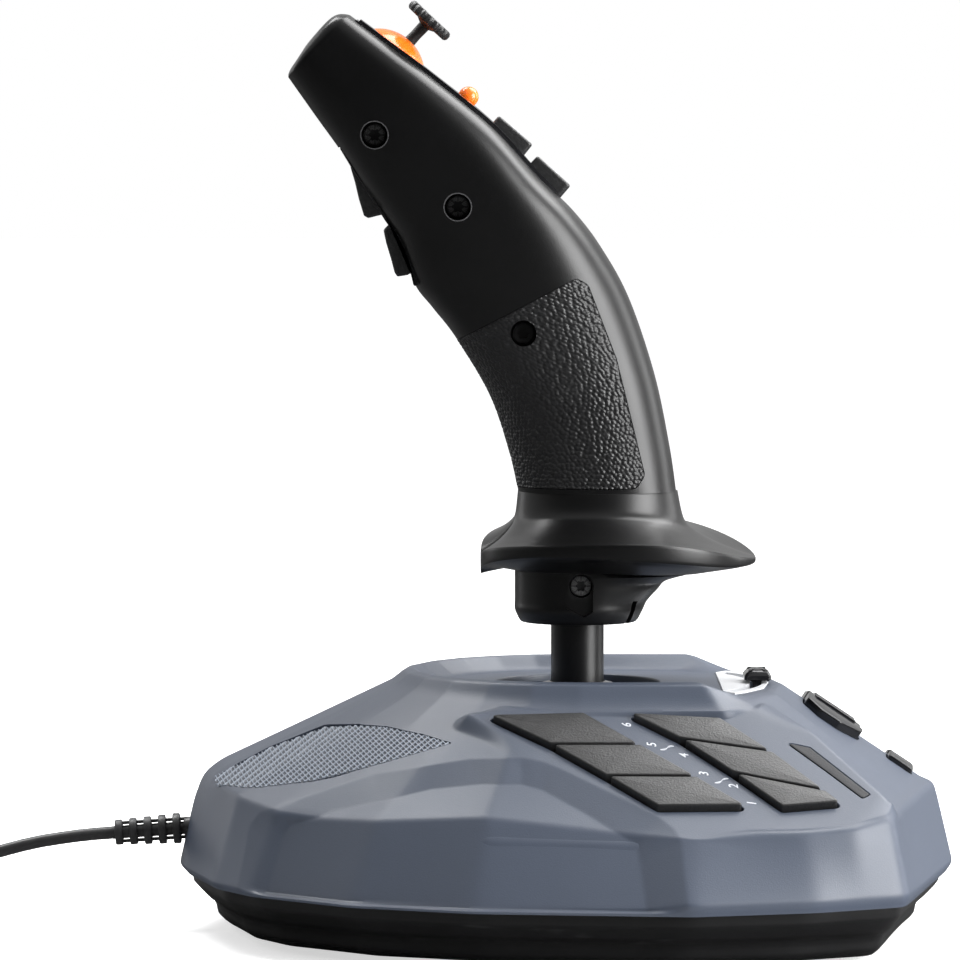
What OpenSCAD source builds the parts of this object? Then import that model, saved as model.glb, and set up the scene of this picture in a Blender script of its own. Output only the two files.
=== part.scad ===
/* [Base] */
// Height of the joint line between the cover and the pan
seam_z = 16; // [14:1:18]
// Wall thickness of the cover
cover_wall = 2.6; // [2.2:0.1:3]
// Offset of the stick axis behind the middle of the base
stick_x = 3; // [0:1:5]
// Height of the rubber feet below the pan
foot_h = 2; // [1.5:0.5:2]

/* [Gimbal] */
// Height of the point that the stick tilts about
pivot_z = 34; // [33.8:0.1:34.2]
// Outer radius of the spherical dust cap
cap_r = 33.5; // [33:0.1:33.6]
// Diameter of the hinge pins of the gimbal
pin_d = 4.8; // [4:0.2:4.8]

/* [Stick] */
// Diameter of the shaft between the base and the grip
shaft_d = 14.2; // [14:0.1:14.4]
// Wall thickness of the grip shells
grip_wall = 2.4; // [2:0.1:2.6]
// Thickness of the leather-grained pad let into the grip
pad_t = 1.2; // [1:0.1:1.4]

/* [Keys] */
// Height of the base keys above the deck
key_proud = 1.8; // [1:0.2:3.5]
// Gap round each key
key_gap = 0.4; // [0.3:0.05:0.5]

/* [Cable] */
// Diameter of the USB cable
cable_d = 3.4; // [3.2:0.1:3.6]
// Mean radius of the coil's outermost turn
coil_r = 25.5; // [25:0.5:26]
// Number of turns that lie beside each other in a layer
coil_turns = 3.5; // [3.5:0.5:4]
// Number of layers in the coil
coil_layers = 4; // [3:1:4]

/* [Hidden] */
$fn = 48;
eps = 0.01;
play = 0.3;

// ---------- colours ----------
slate = [0.36, 0.40, 0.49];
black = [0.06, 0.06, 0.07];
rubber = [0.10, 0.10, 0.11];
orange = [1.0, 0.45, 0.08];
silver = [0.75, 0.75, 0.76];
steel = [0.55, 0.56, 0.58];
board_green = [0.08, 0.30, 0.16];

// ---------- feature lines of the base, front to rear, one half, about the stick axis ----------
// Each point is [x, y, z]; the other half is its mirror image.
lip_line = [
    [-107, 0, 18], [-104.5, 15, 18], [-96, 46, 17.8], [-86, 62.5, 17.8], [-60, 84.5, 17.8],
    [-28, 97, 18.2], [28, 103.5, 19.2], [60, 95, 19.2], [83.5, 83, 19.2], [88, 63, 19],
    [99.5, 9, 18.6], [101, 0, 18.6]
];
shoulder_line = [
    [-102.6, 0, 36.6], [-100, 16, 36.6], [-91, 44, 36], [-80, 59, 35.5], [-54, 79, 35],
    [-25, 89, 35], [28, 93, 34], [57, 90, 34], [70, 86.5, 34.5], [80.5, 80, 35],
    [84, 60, 36], [95, 8, 36.6], [96.6, 0, 36.6]
];
brow_line = [
    [-96.1, 0, 45.4], [-94, 15, 45], [-85, 40, 43.5], [-74, 54, 42], [-50, 74, 41.6],
    [-24, 84, 42], [28, 88, 37.6], [55, 86, 37.4], [68, 83, 38], [77.5, 77, 38.8],
    [81, 58, 40.3], [91, 8, 40.8], [92.8, 0, 40.6]
];
foot_line = concat(
    [for (a = [180:-15:90]) [50 * cos(a), 50 * sin(a) - 3 * pow(sin(a), 2), 64.4 + 2.6 * abs(cos(a))]],
    [[36, 46.5, 64.4], [44, 42, 64.8], [52, 24, 65.4], [55, 0, 65.8]]
);
crest_out_line = concat(
    [for (a = [180:-15:90]) [46.8 * cos(a), 46.8 * sin(a) - 2.3 * pow(sin(a), 2), 69.6]],
    [[33, 44.2, 69.4], [42.5, 37.5, 66], [50.5, 21, 66], [53.5, 0, 66]]
);
crest_in_line = concat(
    [for (a = [180:-15:90]) [44 * cos(a), 44 * sin(a) - 2 * pow(sin(a), 2), 70.2]],
    [[31, 41.5, 70.2], [40, 34, 66], [48, 18, 66], [50, 0, 66]]
);
ledge_line = concat(
    [for (a = [180:-15:90]) [38 * cos(a), 38 * sin(a), 66]],
    [[29, 35.5, 66], [36, 28, 66], [37.5, 14, 66], [37.5, 0, 66]]
);
hole_r = 22;
hole_top_z = 66.5;
hole_under_z = 64.4;
sides = 72;

// ---------- key panels ----------
// The deck beside the ring is flat; it faces outwards and a little to the rear.
panel_at = [17, -46, 63.7];
panel_yaw = 4.5;
panel_tilt = 31.8;
// Row lines of the two columns of keys: [left x, left y, right x, right y] on the panel
front_rows = [
    [-41.5, 4.2, -16.7, 3.6], [-26, 17.1, -3, 17.4], [-12.7, 30.5, 10.3, 31], [-0.4, 43.4, 22.1, 43.4]
];
rear_rows = [
    [-4.9, 3.8, 18.8, 6.2], [7.8, 15.1, 31.1, 20.9], [20.2, 29.6, 43.1, 37.4], [31.5, 44.1, 46.6, 42.3]
];
key_depth = 5.2;
key_travel = 1.2;

// ---------- rear key field ----------
rear_pivot = [58, 0, 63.9];
rear_pitch = 33.5;
rear_roll = 7.5;

// ---------- grip ----------
// Stations from the neck to the head: [front x, front z, rear x, rear z, width, squareness of the rear]
grip_stations = [
    [-15.9, 117.8, 26.4, 117.8, 34, 2.3],
    [-18.2, 128, 24.6, 130, 34, 2.3],
    [-23.5, 143.5, 20.6, 149, 35, 2.3],
    [-32.6, 158.8, 13.8, 169.2, 37, 2.3],
    [-38.8, 166.8, 6.5, 182.6, 39, 2.6],
    [-43.7, 173.3, -1, 192.5, 40, 3.1],
    [-48.4, 185.6, -10.2, 201.6, 41, 3.8],
    [-55.6, 196.7, -23, 215.6, 41, 4.5],
    [-62.7, 207.8, -38.6, 228.3, 40, 5],
    [-70, 218, -50, 236.8, 38, 5],
    [-77.2, 228.2, -60.8, 244.8, 34, 5]
];
// Rings that close the head over its rounded edge
crown_stations = [
    [-77.2, 229, -61.8, 245, 33.6, 5], [-76.7, 230.2, -63.6, 245, 32.4, 5],
    [-75.8, 231.5, -65.4, 244.2, 30, 5], [-74.6, 233.3, -67.5, 242.3, 26, 4.5],
    [-72.9, 236.1, -69.6, 240.1, 14, 3]
];
grip_steps = 16;
grip_facets = 32;
front_power = 2.3;
face_at = [-60.5, 244.2];
face_tilt = 40.5;
trigger_at = [-62.7, 207.8];
trigger_tilt = 62;
trigger_pivots = [5, 22.8];
thumb_at = [-53.2, 229];
thumb_tilt = 43.3;
dome_r = 12.3;
hat_at = [-31.2, 220.8];
hat_tilt = 41;
hat_depth = 5;
button_size = [12.2, 9, 7];
button_places = [[-17.6, 213, 40.5], [-7.4, 202.2, 42]];
screw_places = [[-54, 213], [-32, 194], [-14.6, 160.5]];

// ---------- cable route ----------
relief_from = [-101.6, 0, 27];
relief_to = [-122, 0, 25.6];
coil_x = -188;
coil_y = 22;
coil_bottom = 0.7;
coil_top = coil_bottom + coil_layers * cable_d;
coil_inner_r = coil_r - coil_turns * cable_d;
lead_points = [
    [-122, 0, 25.6], [-126, 0, 25.3], [-131, 0, 24.8], [-136, 0, 24.1], [-141, 0, 23.3],
    [-146, 0, 22.2], [-151, -0.1, 20.9], [-156, -0.3, 19.5], [-161, -0.7, 18.1], [-166, -1.2, 16.8],
    [-171, -1.8, 15.7], [-176, -2.4, 14.9], [-180, -2.9, 14.5]
];
tail_points = [
    [-213.5, 24, 2.4], [-213.5, 28, 2.2], [-213.6, 33, 1.9], [-213.4, 38, 1.8], [-212.8, 43, 1.8],
    [-211.4, 48, 1.9], [-208.9, 52.4, 2.4], [-205.4, 55.8, 3.2], [-201.4, 57.6, 4], [-197.3, 58, 4.5]
];
plug_at = [-197, 58, 4.5];

// ================= helpers =================

function fold(t) = let (u = (t % 360 + 360) % 360) u > 180 ? 360 - u : u;

function bearing(p) = abs(atan2(p.y, p.x));

// Radius and height at which a ray at angle t crosses one segment of a feature line
function crossing(p, q, t) =
    let (d = [cos(t), sin(t)])
    let (k = (p.x * d.y - p.y * d.x) / ((p.x - q.x) * d.y - (p.y - q.y) * d.x))
    let (m = p + k * (q - p))
    [norm([m.x, m.y]), m.z];

// Radius and height of a feature line at angle t about the stick axis
function on_line(line, t) =
    let (f = fold(t))
    let (last = max([for (k = [0:len(line) - 2]) if (bearing(line[k]) >= f) k]))
    crossing(line[last], line[last + 1], f);

// Cross-section of the cover at angle t, as [radius, height], round its closed wall
function cover_section(t) =
    let (lip = on_line(lip_line, t))
    let (shoulder = on_line(shoulder_line, t))
    let (brow = on_line(brow_line, t))
    let (foot = on_line(foot_line, t))
    let (ledge = on_line(ledge_line, t))
    [
        [lip.x - 1.2, seam_z],
        [lip.x - 0.3, (seam_z + lip.y) / 2],
        lip,
        shoulder + [0.8, -3],
        (shoulder + brow) / 2 + [1.2, 0.8],
        brow,
        foot,
        on_line(crest_out_line, t),
        on_line(crest_in_line, t),
        ledge,
        [hole_r, hole_top_z],
        [hole_r, hole_under_z],
        ledge + [0, -cover_wall],
        foot + [-1, -cover_wall - 0.4],
        brow + [-cover_wall, -2],
        shoulder + [-cover_wall, -1],
        [lip.x - 4.5, seam_z]
    ];

// Outline of the filled cover, used to trim the posts under it
function cover_fill(t) =
    let (lip = on_line(lip_line, t))
    let (shoulder = on_line(shoulder_line, t))
    let (brow = on_line(brow_line, t))
    let (foot = on_line(foot_line, t))
    [
        [lip.x - 4, 4.5], [lip.x - 4, seam_z + 4], shoulder + [-1.4, -1],
        brow + [-1.4, -1], foot + [-0.5, -1.4]
    ];

// Cross-section of the pan at angle t
function pan_section(t) =
    let (r = on_line(lip_line, t).x)
    [
        [r - 26, foot_h], [r - 12.5, foot_h + 0.3], [r - 10.2, foot_h + 2], [r - 9.7, foot_h + 4.5],
        [r - 9, foot_h + 5.9], [r - 6.7, foot_h + 7.6], [r - 4.4, foot_h + 10], [r - 3.6, foot_h + 11],
        [r - 3.2, seam_z], [r - 6, seam_z],
        [r - 8.6, foot_h + 9.5], [r - 12.4, foot_h + 5.2], [r - 26, foot_h + 2.5]
    ];

// A ring of points of one level of a surface swept round the stick axis
function level_ring(sections, level, angles) =
    [for (i = [0:len(angles) - 1])
        let (p = sections[i][level])
        [stick_x + p.x * cos(angles[i]), p.x * sin(angles[i]), p.y]];

function mean(points) =
    [for (k = [0:2]) let (v = [for (p = points) p[k]]) v * [for (p = points) 1] / len(points)];

// Closed surface through rings of equal length, capped at both ends or joined into a torus
module skin(rings, joined = false) {
    n = len(rings[0]);
    m = len(rings);
    wall = [for (j = [0:m - (joined ? 1 : 2)], i = [0:n - 1])
        let (a = j * n + i, b = j * n + (i + 1) % n)
        let (c = ((j + 1) % m) * n + (i + 1) % n, d = ((j + 1) % m) * n + i)
        each [[a, c, b], [a, d, c]]];
    caps = joined ? [] : [for (i = [0:n - 1])
        each [[m * n, i, (i + 1) % n], [m * n + 1, (m - 1) * n + (i + 1) % n, (m - 1) * n + i]]];
    centres = joined ? [] : [mean(rings[0]), mean(rings[m - 1])];
    polyhedron(points = concat([for (r = rings) each r], centres), faces = concat(wall, caps));
}

module swept_base(sections, angles, joined) {
    skin([for (k = [0:len(sections[0]) - 1]) level_ring(sections, k, angles)], joined);
}

base_angles = [for (i = [0:sides - 1]) i * 360 / sides];

function unit(v) = v / norm(v);

// Direction of a path at point i
function heading(path, i) =
    unit(path[min(i + 1, len(path) - 1)] - path[max(i - 1, 0)]);

// Ring of n points of radius r square to a path; the path may not run straight up
function tube_ring(path, i, r, n) =
    let (d = heading(path, i))
    let (across = unit(cross([0, 0, 1], d)))
    let (above = cross(d, across))
    [for (k = [0:n - 1])
        let (a = (k + 0.5) * 360 / n)
        path[i] + r * (cos(a) * across + sin(a) * above)];

module tube(path, r, n) {
    skin([for (i = [0:len(path) - 1]) tube_ring(path, i, r, n)]);
}

module mirrored() {
    children();
    mirror([0, 1, 0]) children();
}

// side is +1 for the object's right and -1 for its left
module to_side(side) {
    if (side > 0) {
        mirror([0, 1, 0]) children();
    } else {
        children();
    }
}

// Places children on the left key panel: x to the rear, y down the slope, z out of the deck
module on_panel() {
    translate([stick_x + panel_at.x, panel_at.y, panel_at.z])
        rotate([0, 0, panel_yaw])
        rotate([panel_tilt, 0, 0])
        mirror([0, 1, 0])
        children();
}

module on_rear_field() {
    translate([stick_x + rear_pivot.x, 0, rear_pivot.z])
        rotate([0, rear_pitch, 0])
        rotate([-rear_roll, 0, 0])
        children();
}

module at_place(place, tilt) {
    translate([stick_x + place[0], 0, place[1]]) rotate([0, tilt, 0]) children();
}

module on_face() { at_place(face_at, face_tilt) children(); }
module on_triggers() { at_place(trigger_at, trigger_tilt) children(); }
module on_thumb() { at_place(thumb_at, thumb_tilt) children(); }
module on_hat() { at_place(hat_at, hat_tilt) children(); }
module at_pivot() { translate([stick_x, 0, pivot_z]) children(); }

// Cylinder along Y, from y1 to y2
module bar_y(r, y1, y2) {
    translate([0, y1, 0]) rotate([-90, 0, 0]) cylinder(r = r, h = y2 - y1);
}

// Cylinder along X, from x1 to x2
module bar_x(r, x1, x2) {
    translate([x1, 0, 0]) rotate([0, 90, 0]) cylinder(r = r, h = x2 - x1);
}

// ================= base =================

// The flat part of the deck round the keys of one side
module panel_area() {
    polygon([[-46, 2], [-16, 0.5], [20, 2.2], [44, 12.5], [58, 37], [50, 46.5], [-3, 46.5]]);
}

// Window in the deck round a column of keys
module column_window(rows) {
    left = [for (r = rows) [r[0], r[1]]];
    right = [for (k = [3:-1:0]) [rows[k][2], rows[k][3]]];
    offset(delta = key_gap) polygon(concat(left, right));
}

// Point g further down the panel than a, on the line from a to b
function down_from(a, b, g) = a + (b - a) * g / abs(b[1] - a[1]);

// Outline of the key between row lines p and q
module key_outline(p, q) {
    left = [[p[0], p[1]], [q[0], q[1]]];
    right = [[p[2], p[3]], [q[2], q[3]]];
    g = key_gap / 2;
    polygon([
        down_from(left[0], left[1], g), down_from(right[0], right[1], g),
        down_from(right[1], right[0], g), down_from(left[1], left[0], g)
    ]);
}

// Outline of one rear key; it has its straight side on the middle line
module cruise_outline(grow) {
    polygon([
        [3.5 - grow, 0.9 - grow], [18 + grow, 0.9 - grow], [21 + grow, 5],
        [20.5 + grow, 9 + grow], [14 + grow, 13.6 + grow], [8 - grow, 13.6 + grow], [3.5 - grow, 9 + grow]
    ]);
}

module rear_outline(grow) {
    translate([30.4 - grow, 0.9 - grow]) square([7.6 + 2 * grow, 6 + 2 * grow]);
}

// Outline of the light bar on a key panel
module bar_outline() {
    polygon([[35.5, 15.2], [41.5, 17.4], [54.9, 37.3], [52.7, 38.9], [44.6, 27.5]]);
}

module throttle_plate_outline() {
    polygon([
        [38, -28], [41, -33], [44, -29], [49.4, -17], [51.4, 0],
        [49.4, 17], [44, 29], [41, 33], [38, 28]
    ]);
}

// Ring sector about the stick axis, between two radii and plus or minus half an angle
module sector(r1, r2, half) {
    difference() {
        circle(r = r2);
        circle(r = r1);
        rotate(half) translate([-r2 * 3, 0]) square([r2 * 6, r2 * 3]);
        rotate(-half) translate([-r2 * 3, -r2 * 3]) square([r2 * 6, r2 * 3]);
    }
}

module post_places() {
    for (p = [[-72, 22], [-38, 62], [14, 76], [66, 34]]) {
        mirrored() translate([p[0], p[1], 0]) children();
    }
}

module base_cover() {
    color(slate) difference() {
        union() {
            swept_base([for (t = base_angles) cover_section(t)], base_angles, true);
            mirrored() on_panel() translate([0, 0, -cover_wall]) linear_extrude(cover_wall) panel_area();
            intersection() {
                swept_base([for (t = base_angles) cover_fill(t)], base_angles, false);
                post_places() translate([0, 0, foot_h + 3.5]) cylinder(r = 4, h = 60);
            }
        }
        post_places() translate([0, 0, -eps]) cylinder(r = 1.2, h = foot_h + 16);
        mirrored() on_panel() {
            linear_extrude(8) panel_area();
            translate([0, 0, -12]) linear_extrude(18) {
                column_window(front_rows);
                column_window(rear_rows);
            }
            translate([0, 0, -1]) linear_extrude(6) bar_outline();
        }
        mirrored() on_rear_field() translate([0, 0, -8]) linear_extrude(16) {
            cruise_outline(key_gap);
            rear_outline(key_gap);
        }
        translate([stick_x, 0, 64.8]) linear_extrude(4) throttle_plate_outline();
        translate([stick_x, 0, 58]) linear_extrude(12) sector(46.3, 49.7, 34);
        translate(relief_from) rotate([0, -90, 0]) translate([0, 0, -6]) cylinder(r = 3.1, h = 12);
    }
}

module base_pan() {
    color(black) difference() {
        union() {
            swept_base([for (t = base_angles) pan_section(t)], base_angles, false);
            standoff_places() translate([0, 0, foot_h + 2]) cylinder(r = 3, h = 4);
        }
        post_places() {
            translate([0, 0, -eps]) cylinder(r = 1.7, h = 8);
            translate([0, 0, -eps]) cylinder(r = 3.2, h = foot_h + 1.2);
        }
        foot_places() translate([0, 0, -eps]) cylinder(r = 5.3, h = foot_h + 0.8 + eps);
    }
}

module standoff_places() {
    for (x = [-72, -46]) {
        mirrored() translate([x, 13, 0]) children();
    }
}

module foot_places() {
    for (p = [[-65, 33], [-11, 62], [60, 50]]) {
        mirrored() translate([p[0], p[1], 0]) children();
    }
}

module rubber_feet() {
    color(rubber) foot_places() cylinder(r = 5.3, h = foot_h + 0.8);
}

module pan_screws() {
    color(steel) post_places() {
        translate([0, 0, foot_h - 0.9]) cylinder(r = 2.8, h = 2);
        translate([0, 0, foot_h]) cylinder(r = 1.15, h = 12);
    }
}

module ballast_weights() {
    color(steel) mirrored() {
        translate([-14, 47, foot_h + 2.5]) cube([56, 14, 8]);
    }
}

module main_board() {
    color(board_green) difference() {
        translate([-76, -17, foot_h + 6]) cube([34, 34, 1.6]);
        standoff_places() translate([0, 0, foot_h]) cylinder(r = 1.5, h = 12);
    }
    color(black) translate([-66, -7, foot_h + 7.6]) cube([14, 14, 1.6]);
}

post_y = 25;
carrier_r = [35.6, 41.4];
carrier_z = 49.5;

module gimbal_frame() {
    color(black) translate([stick_x, 0, 0]) difference() {
        union() {
            translate([0, 0, foot_h + 2.5]) cylinder(r = 43, h = 3.5);
            for (s = [1, -1]) {
                translate([-6, s > 0 ? post_y : -post_y - 5, foot_h + 5]) cube([12, 5, 33]);
            }
            for (a = [0, 120, 240]) {
                rotate(a + 60) translate([38.5, 0, foot_h + 5]) cylinder(r = 2.6, h = carrier_z - foot_h - 6);
            }
            translate([0, 0, carrier_z - 3]) difference() {
                cylinder(r = carrier_r[1], h = 3);
                translate([0, 0, -eps]) cylinder(r = carrier_r[0], h = 4);
            }
        }
        translate([0, 0, pivot_z]) bar_y(pin_d / 2 + 0.2, -40, 40);
        translate([0, 0, -eps]) cylinder(r = 10, h = 20);
    }
}

module throttle_track() {
    color(silver) difference() {
        translate([stick_x, 0, 64.8]) linear_extrude(1.5) throttle_plate_outline();
        translate([stick_x, 0, 60]) linear_extrude(12) sector(46.3, 49.7, 34);
    }
}

module light_bars() {
    color([0.25, 0.26, 0.28]) mirrored() on_panel() {
        translate([0, 0, -1]) linear_extrude(1.2) bar_outline();
    }
}

module button_membranes() {
    color(rubber) mirrored() on_panel() translate([0, 0, -key_depth - key_travel - 2.4]) {
        linear_extrude(1.6) polygon([[-34, 9], [16, 9], [42, 42], [4, 42]]);
    }
}

// Coil spring along Z, starting at z = 0
module spring(turns, pitch, r, wire) {
    tube([for (i = [0:12 * turns]) [r * cos(i * 30), r * sin(i * 30), wire + pitch * i / 12]], wire, 6);
}

module pitch_springs() {
    color(steel) at_pivot() mirrored() translate([0, 18.8, 0]) rotate([-90, 0, 0]) spring(3, 1.5, 4.2, 0.7);
}

module strain_relief() {
    step = (relief_to - relief_from) / 5;
    tilt = atan2(relief_from.z - relief_to.z, relief_from.x - relief_to.x);
    color(black) translate(relief_from) rotate([0, -90 - tilt, 0]) {
        translate([0, 0, -4]) cylinder(r = 2.9, h = 5);
        cylinder(r1 = 2.9, r2 = 2.2, h = norm(relief_to - relief_from));
        for (i = [0:4]) {
            translate([0, 0, 2 + i * 3.9]) cylinder(r = 4.1 - 0.17 * i, h = 2);
        }
    }
}

module usb_cable() {
    color(black) {
        tube(lead_points, cable_d / 2, 8);
        tube(tail_points, cable_d / 2, 8);
    }
}

module coil_outline() {
    translate([coil_inner_r - cable_d / 2, coil_bottom])
        square([coil_r - coil_inner_r + cable_d, coil_top - coil_bottom]);
}

module cable_coil() {
    color(black) translate([coil_x, coil_y, 0]) rotate_extrude() coil_outline();
}

module cable_tie() {
    width = coil_r - coil_inner_r + cable_d;
    color(black) translate([coil_x, coil_y, 0]) difference() {
        union() {
            translate([coil_inner_r - cable_d / 2 - 0.8, -2, 0]) cube([width + 1.8, 4, coil_top + 0.8]);
            translate([coil_r - 6, -3, coil_top + 0.4]) cube([6, 6, 1.6]);
        }
        rotate_extrude() coil_outline();
    }
}

module usb_plug() {
    color(black) translate(plug_at) {
        bar_x(2.4, 0, 4);
        translate([4, -7.5, -4.4]) cube([20, 15, 8.8]);
    }
    color(silver) translate(plug_at) difference() {
        translate([24, -6, -2.25]) cube([13, 12, 4.5]);
        translate([30, -5.6, -1.85]) cube([8, 11.2, 3.7]);
    }
}

// Key number index of a side, counted from the lower rear corner
module base_key(side, index) {
    rows = index % 2 == 1 ? rear_rows : front_rows;
    row = 2 - floor((index - 1) / 2);
    color(black) to_side(side) on_panel() translate([0, 0, -key_depth]) {
        linear_extrude(key_depth + key_proud) key_outline(rows[row], rows[row + 1]);
    }
}

module cruise_key(side) {
    color(black) to_side(-side) on_rear_field() translate([0, 0, -4]) linear_extrude(6.6) cruise_outline(0);
}

module rear_key(side) {
    color(black) to_side(-side) on_rear_field() translate([0, 0, -3]) linear_extrude(4.4) rear_outline(0);
}

module throttle_lever() {
    color(black) translate([stick_x, 0, carrier_z + play]) {
        difference() {
            union() {
                cylinder(r = 41, h = 3);
                translate([38, -4, 0]) cube([12, 8, 3]);
            }
            translate([0, 0, -1]) cylinder(r = 36.3, h = 5);
        }
        translate([46.8, -4, 0]) cube([2.4, 8, 17.5]);
        translate([44.6, -6, 66.9 - carrier_z - play]) cube([7.2, 12, 3.1]);
    }
}

// ================= gimbal =================

module gimbal_ring() {
    color(steel) at_pivot() difference() {
        union() {
            translate([0, 0, -4]) cylinder(r = 18, h = 8);
            bar_y(pin_d / 2, -29.6, 29.6);
        }
        translate([0, 0, -5]) cylinder(r = 14, h = 10);
        bar_x(pin_d / 2 + 0.2, -20, 20);
    }
}

module roll_springs() {
    color(steel) at_pivot() for (s = [0, 180]) {
        rotate(s) translate([9.35, 0, 0]) rotate([0, 90, 0]) spring(2, 1.3, 3.6, 0.6);
    }
}

module gimbal_block() {
    color(steel) at_pivot() difference() {
        union() {
            translate([0, 0, -6]) cylinder(r = 9, h = 16);
            bar_x(pin_d / 2, -17.6, 17.6);
        }
        translate([0, 0, -7]) cylinder(r = 5.2, h = 18);
    }
}

module dust_cap() {
    color(black) at_pivot() {
        rotate_extrude($fn = 64) difference() {
            intersection() {
                difference() {
                    circle(r = cap_r);
                    circle(r = cap_r - 1.5);
                }
                polygon([[0, 0], [0, 60], [60, 60], [60, 60 / tan(66)]]);
            }
            translate([-1, 0]) square([shaft_d / 2 + play + 1, 60]);
        }
        translate([0, 0, 10]) difference() {
            cylinder(r = 9.4, h = 22.2);
            translate([0, 0, -1]) cylinder(r = shaft_d / 2 + play, h = 30);
        }
    }
}

// ================= stick =================

module stick_shaft() {
    color(black) translate([stick_x, 0, 0]) {
        translate([0, 0, pivot_z - 9.6]) cylinder(r = 8, h = 3.3);
        translate([0, 0, pivot_z - 9]) cylinder(r = 5, h = 20);
        translate([0, 0, pivot_z + 10.3]) cylinder(r = shaft_d / 2, h = 132 - pivot_z - 10.3);
    }
}

// Levels of the hub: [height, reach to the rear, radius elsewhere]
hub_levels = [
    [82.7, 15.9, 15.4], [83.6, 16.4, 15.8], [86, 17.6, 16.8], [88.3, 18.7, 16.8], [91.5, 21.6, 16.8],
    [93.7, 23.8, 16.8], [95.4, 30, 16.8], [97, 16.8, 16.8]
];
function hub_ring(l) =
    [for (i = [0:47]) let (t = i * 7.5) [max(cos(t), 0) * l[1] + min(cos(t), 0) * l[2], l[2] * sin(t), l[0]]];

module hub() {
    color(black) translate([stick_x, 0, 0]) difference() {
        skin([for (l = hub_levels) hub_ring(l)]);
        translate([0, 0, 80]) cylinder(r = shaft_d / 2, h = 20);
        translate([0.7, 0, 93.2]) bar_y(3.1, -20, -13);
        rotate([90, 0, 0]) translate([0, 0, 15.4]) linear_extrude(5) {
            translate([0.7, 93.2]) circle(r = 3.45);
            polygon([[-3.1, 93.2], [-3.1, 87.3], [1.6, 84.9], [3.9, 86.4], [3.9, 93.2]]);
        }
        translate([0.7, 0, 93.2]) bar_y(1.5, -14, 0);
        rotate([0, 0, -33]) translate([6, -1, 82]) cube([20, 2, 6.8]);
    }
}

module hub_screw() {
    color(steel) translate([stick_x + 0.7, 0, 93.2]) {
        difference() {
            bar_y(2.9, -14.6, -13);
            translate([-0.4, -15, -1.6]) cube([0.8, 1, 3.2]);
            translate([-1.6, -15, -0.4]) cube([3.2, 1, 0.8]);
        }
        bar_y(1.5, -13, -7.5);
    }
}

// Outline radius of the rest at angle t, between the neck and the brim
function rest_point(t, k, lift) =
    let (neck = [5.4 + 21.4 * cos(t), 17.2 * sin(t)])
    let (brim = [10.9 + 36.9 * cos(t), 34 * sin(t)])
    let (p = neck + (brim - neck) * k)
    [stick_x + p.x, p.y, lift];

// The brim is higher at the sides than at its ends, and highest on the right
function clamp(v, low, high) = max(low, min(high, v));
function brim_lift(t) = sin(t) < 0
    ? 5.6 * pow(-sin(t), clamp(1.3 + 1.3 * cos(t), 0.5, 3))
    : 9.6 * pow(sin(t), clamp(1.2 + 1.2 * cos(t), 0.45, 1.5));
function brim_z(t) = 100 + 0.3 * cos(t) + brim_lift(t);
function brim_edge(t) = 3.6 - 0.43 * cos(t) - 0.7 * cos(2 * t) - 0.87 * cos(3 * t);
function rest_level(k, drop) =
    [for (i = [0:59]) let (t = i * 6) rest_point(t, k, 117.8 + (brim_z(t) - 117.8) * drop)];
function rest_under(k, share) =
    [for (i = [0:59]) let (t = i * 6, inner = 97 - 1.2 * max(cos(t), 0))
        rest_point(t, k, inner + (brim_z(t) - brim_edge(t) - inner) * share)];

module hand_rest() {
    color(black) difference() {
        skin([
            [for (i = [0:59]) [stick_x + 2 + 15 * cos(i * 6), 15 * sin(i * 6), 97]],
            rest_under(0.3, 0), rest_under(0.6, 0.4), rest_under(0.85, 0.75), rest_under(0.985, 1),
            [for (i = [0:59]) let (t = i * 6) rest_point(t, 1, brim_z(t) - 0.6)],
            rest_level(0.985, 1), rest_level(0.8, 0.93), rest_level(0.5, 0.79), rest_level(0.22, 0.6),
            rest_level(0.08, 0.42), rest_level(0, 0)
        ]);
        translate([stick_x, 0, 90]) cylinder(r = shaft_d / 2, h = 40);
    }
}

// ---------- grip surface ----------

function catmull(p0, p1, p2, p3, u) =
    0.5 * (2 * p1 + (p2 - p0) * u + (2 * p0 - 5 * p1 + 4 * p2 - p3) * pow(u, 2)
        + (3 * p1 - p0 - 3 * p2 + p3) * pow(u, 3));

// Station of the grip at s, from 0 at the neck to 1 at the head
function station(s) =
    let (last = len(grip_stations) - 1)
    let (i = min(floor(s * last), last - 1))
    catmull(grip_stations[max(i - 1, 0)], grip_stations[i], grip_stations[i + 1],
        grip_stations[min(i + 2, last)], s * last - i);

function bulge(c, power) = sign(c) * pow(abs(c), 2 / power);

// Ring of the grip's surface at a station, grown by off; its rear half is the squarer one
function grip_ring(q, off) =
    let (middle = [q[0] + q[2], q[1] + q[3]] / 2)
    let (half = [q[2] - q[0], q[3] - q[1]] / 2)
    let (k = 1 + off / norm(half))
    [for (i = [0:grip_facets - 1])
        let (a = i * 360 / grip_facets)
        let (power = cos(a) > 0 ? q[5] : front_power + (q[5] - front_power) / 4)
        let (p = middle + half * k * bulge(cos(a), power))
        [stick_x + p.x, (q[4] / 2 + off) * bulge(sin(a), power), p.y]];

// Solid of the grip, grown by off, from station s1 to s2; the head gets a small crown
module grip_body(off, s1, s2, crown) {
    rings = [for (i = [0:grip_steps]) grip_ring(station(s1 + (s2 - s1) * i / grip_steps), off)];
    skin(concat(rings, crown ? [for (q = crown_stations) grip_ring(q, off)] : []));
}

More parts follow.
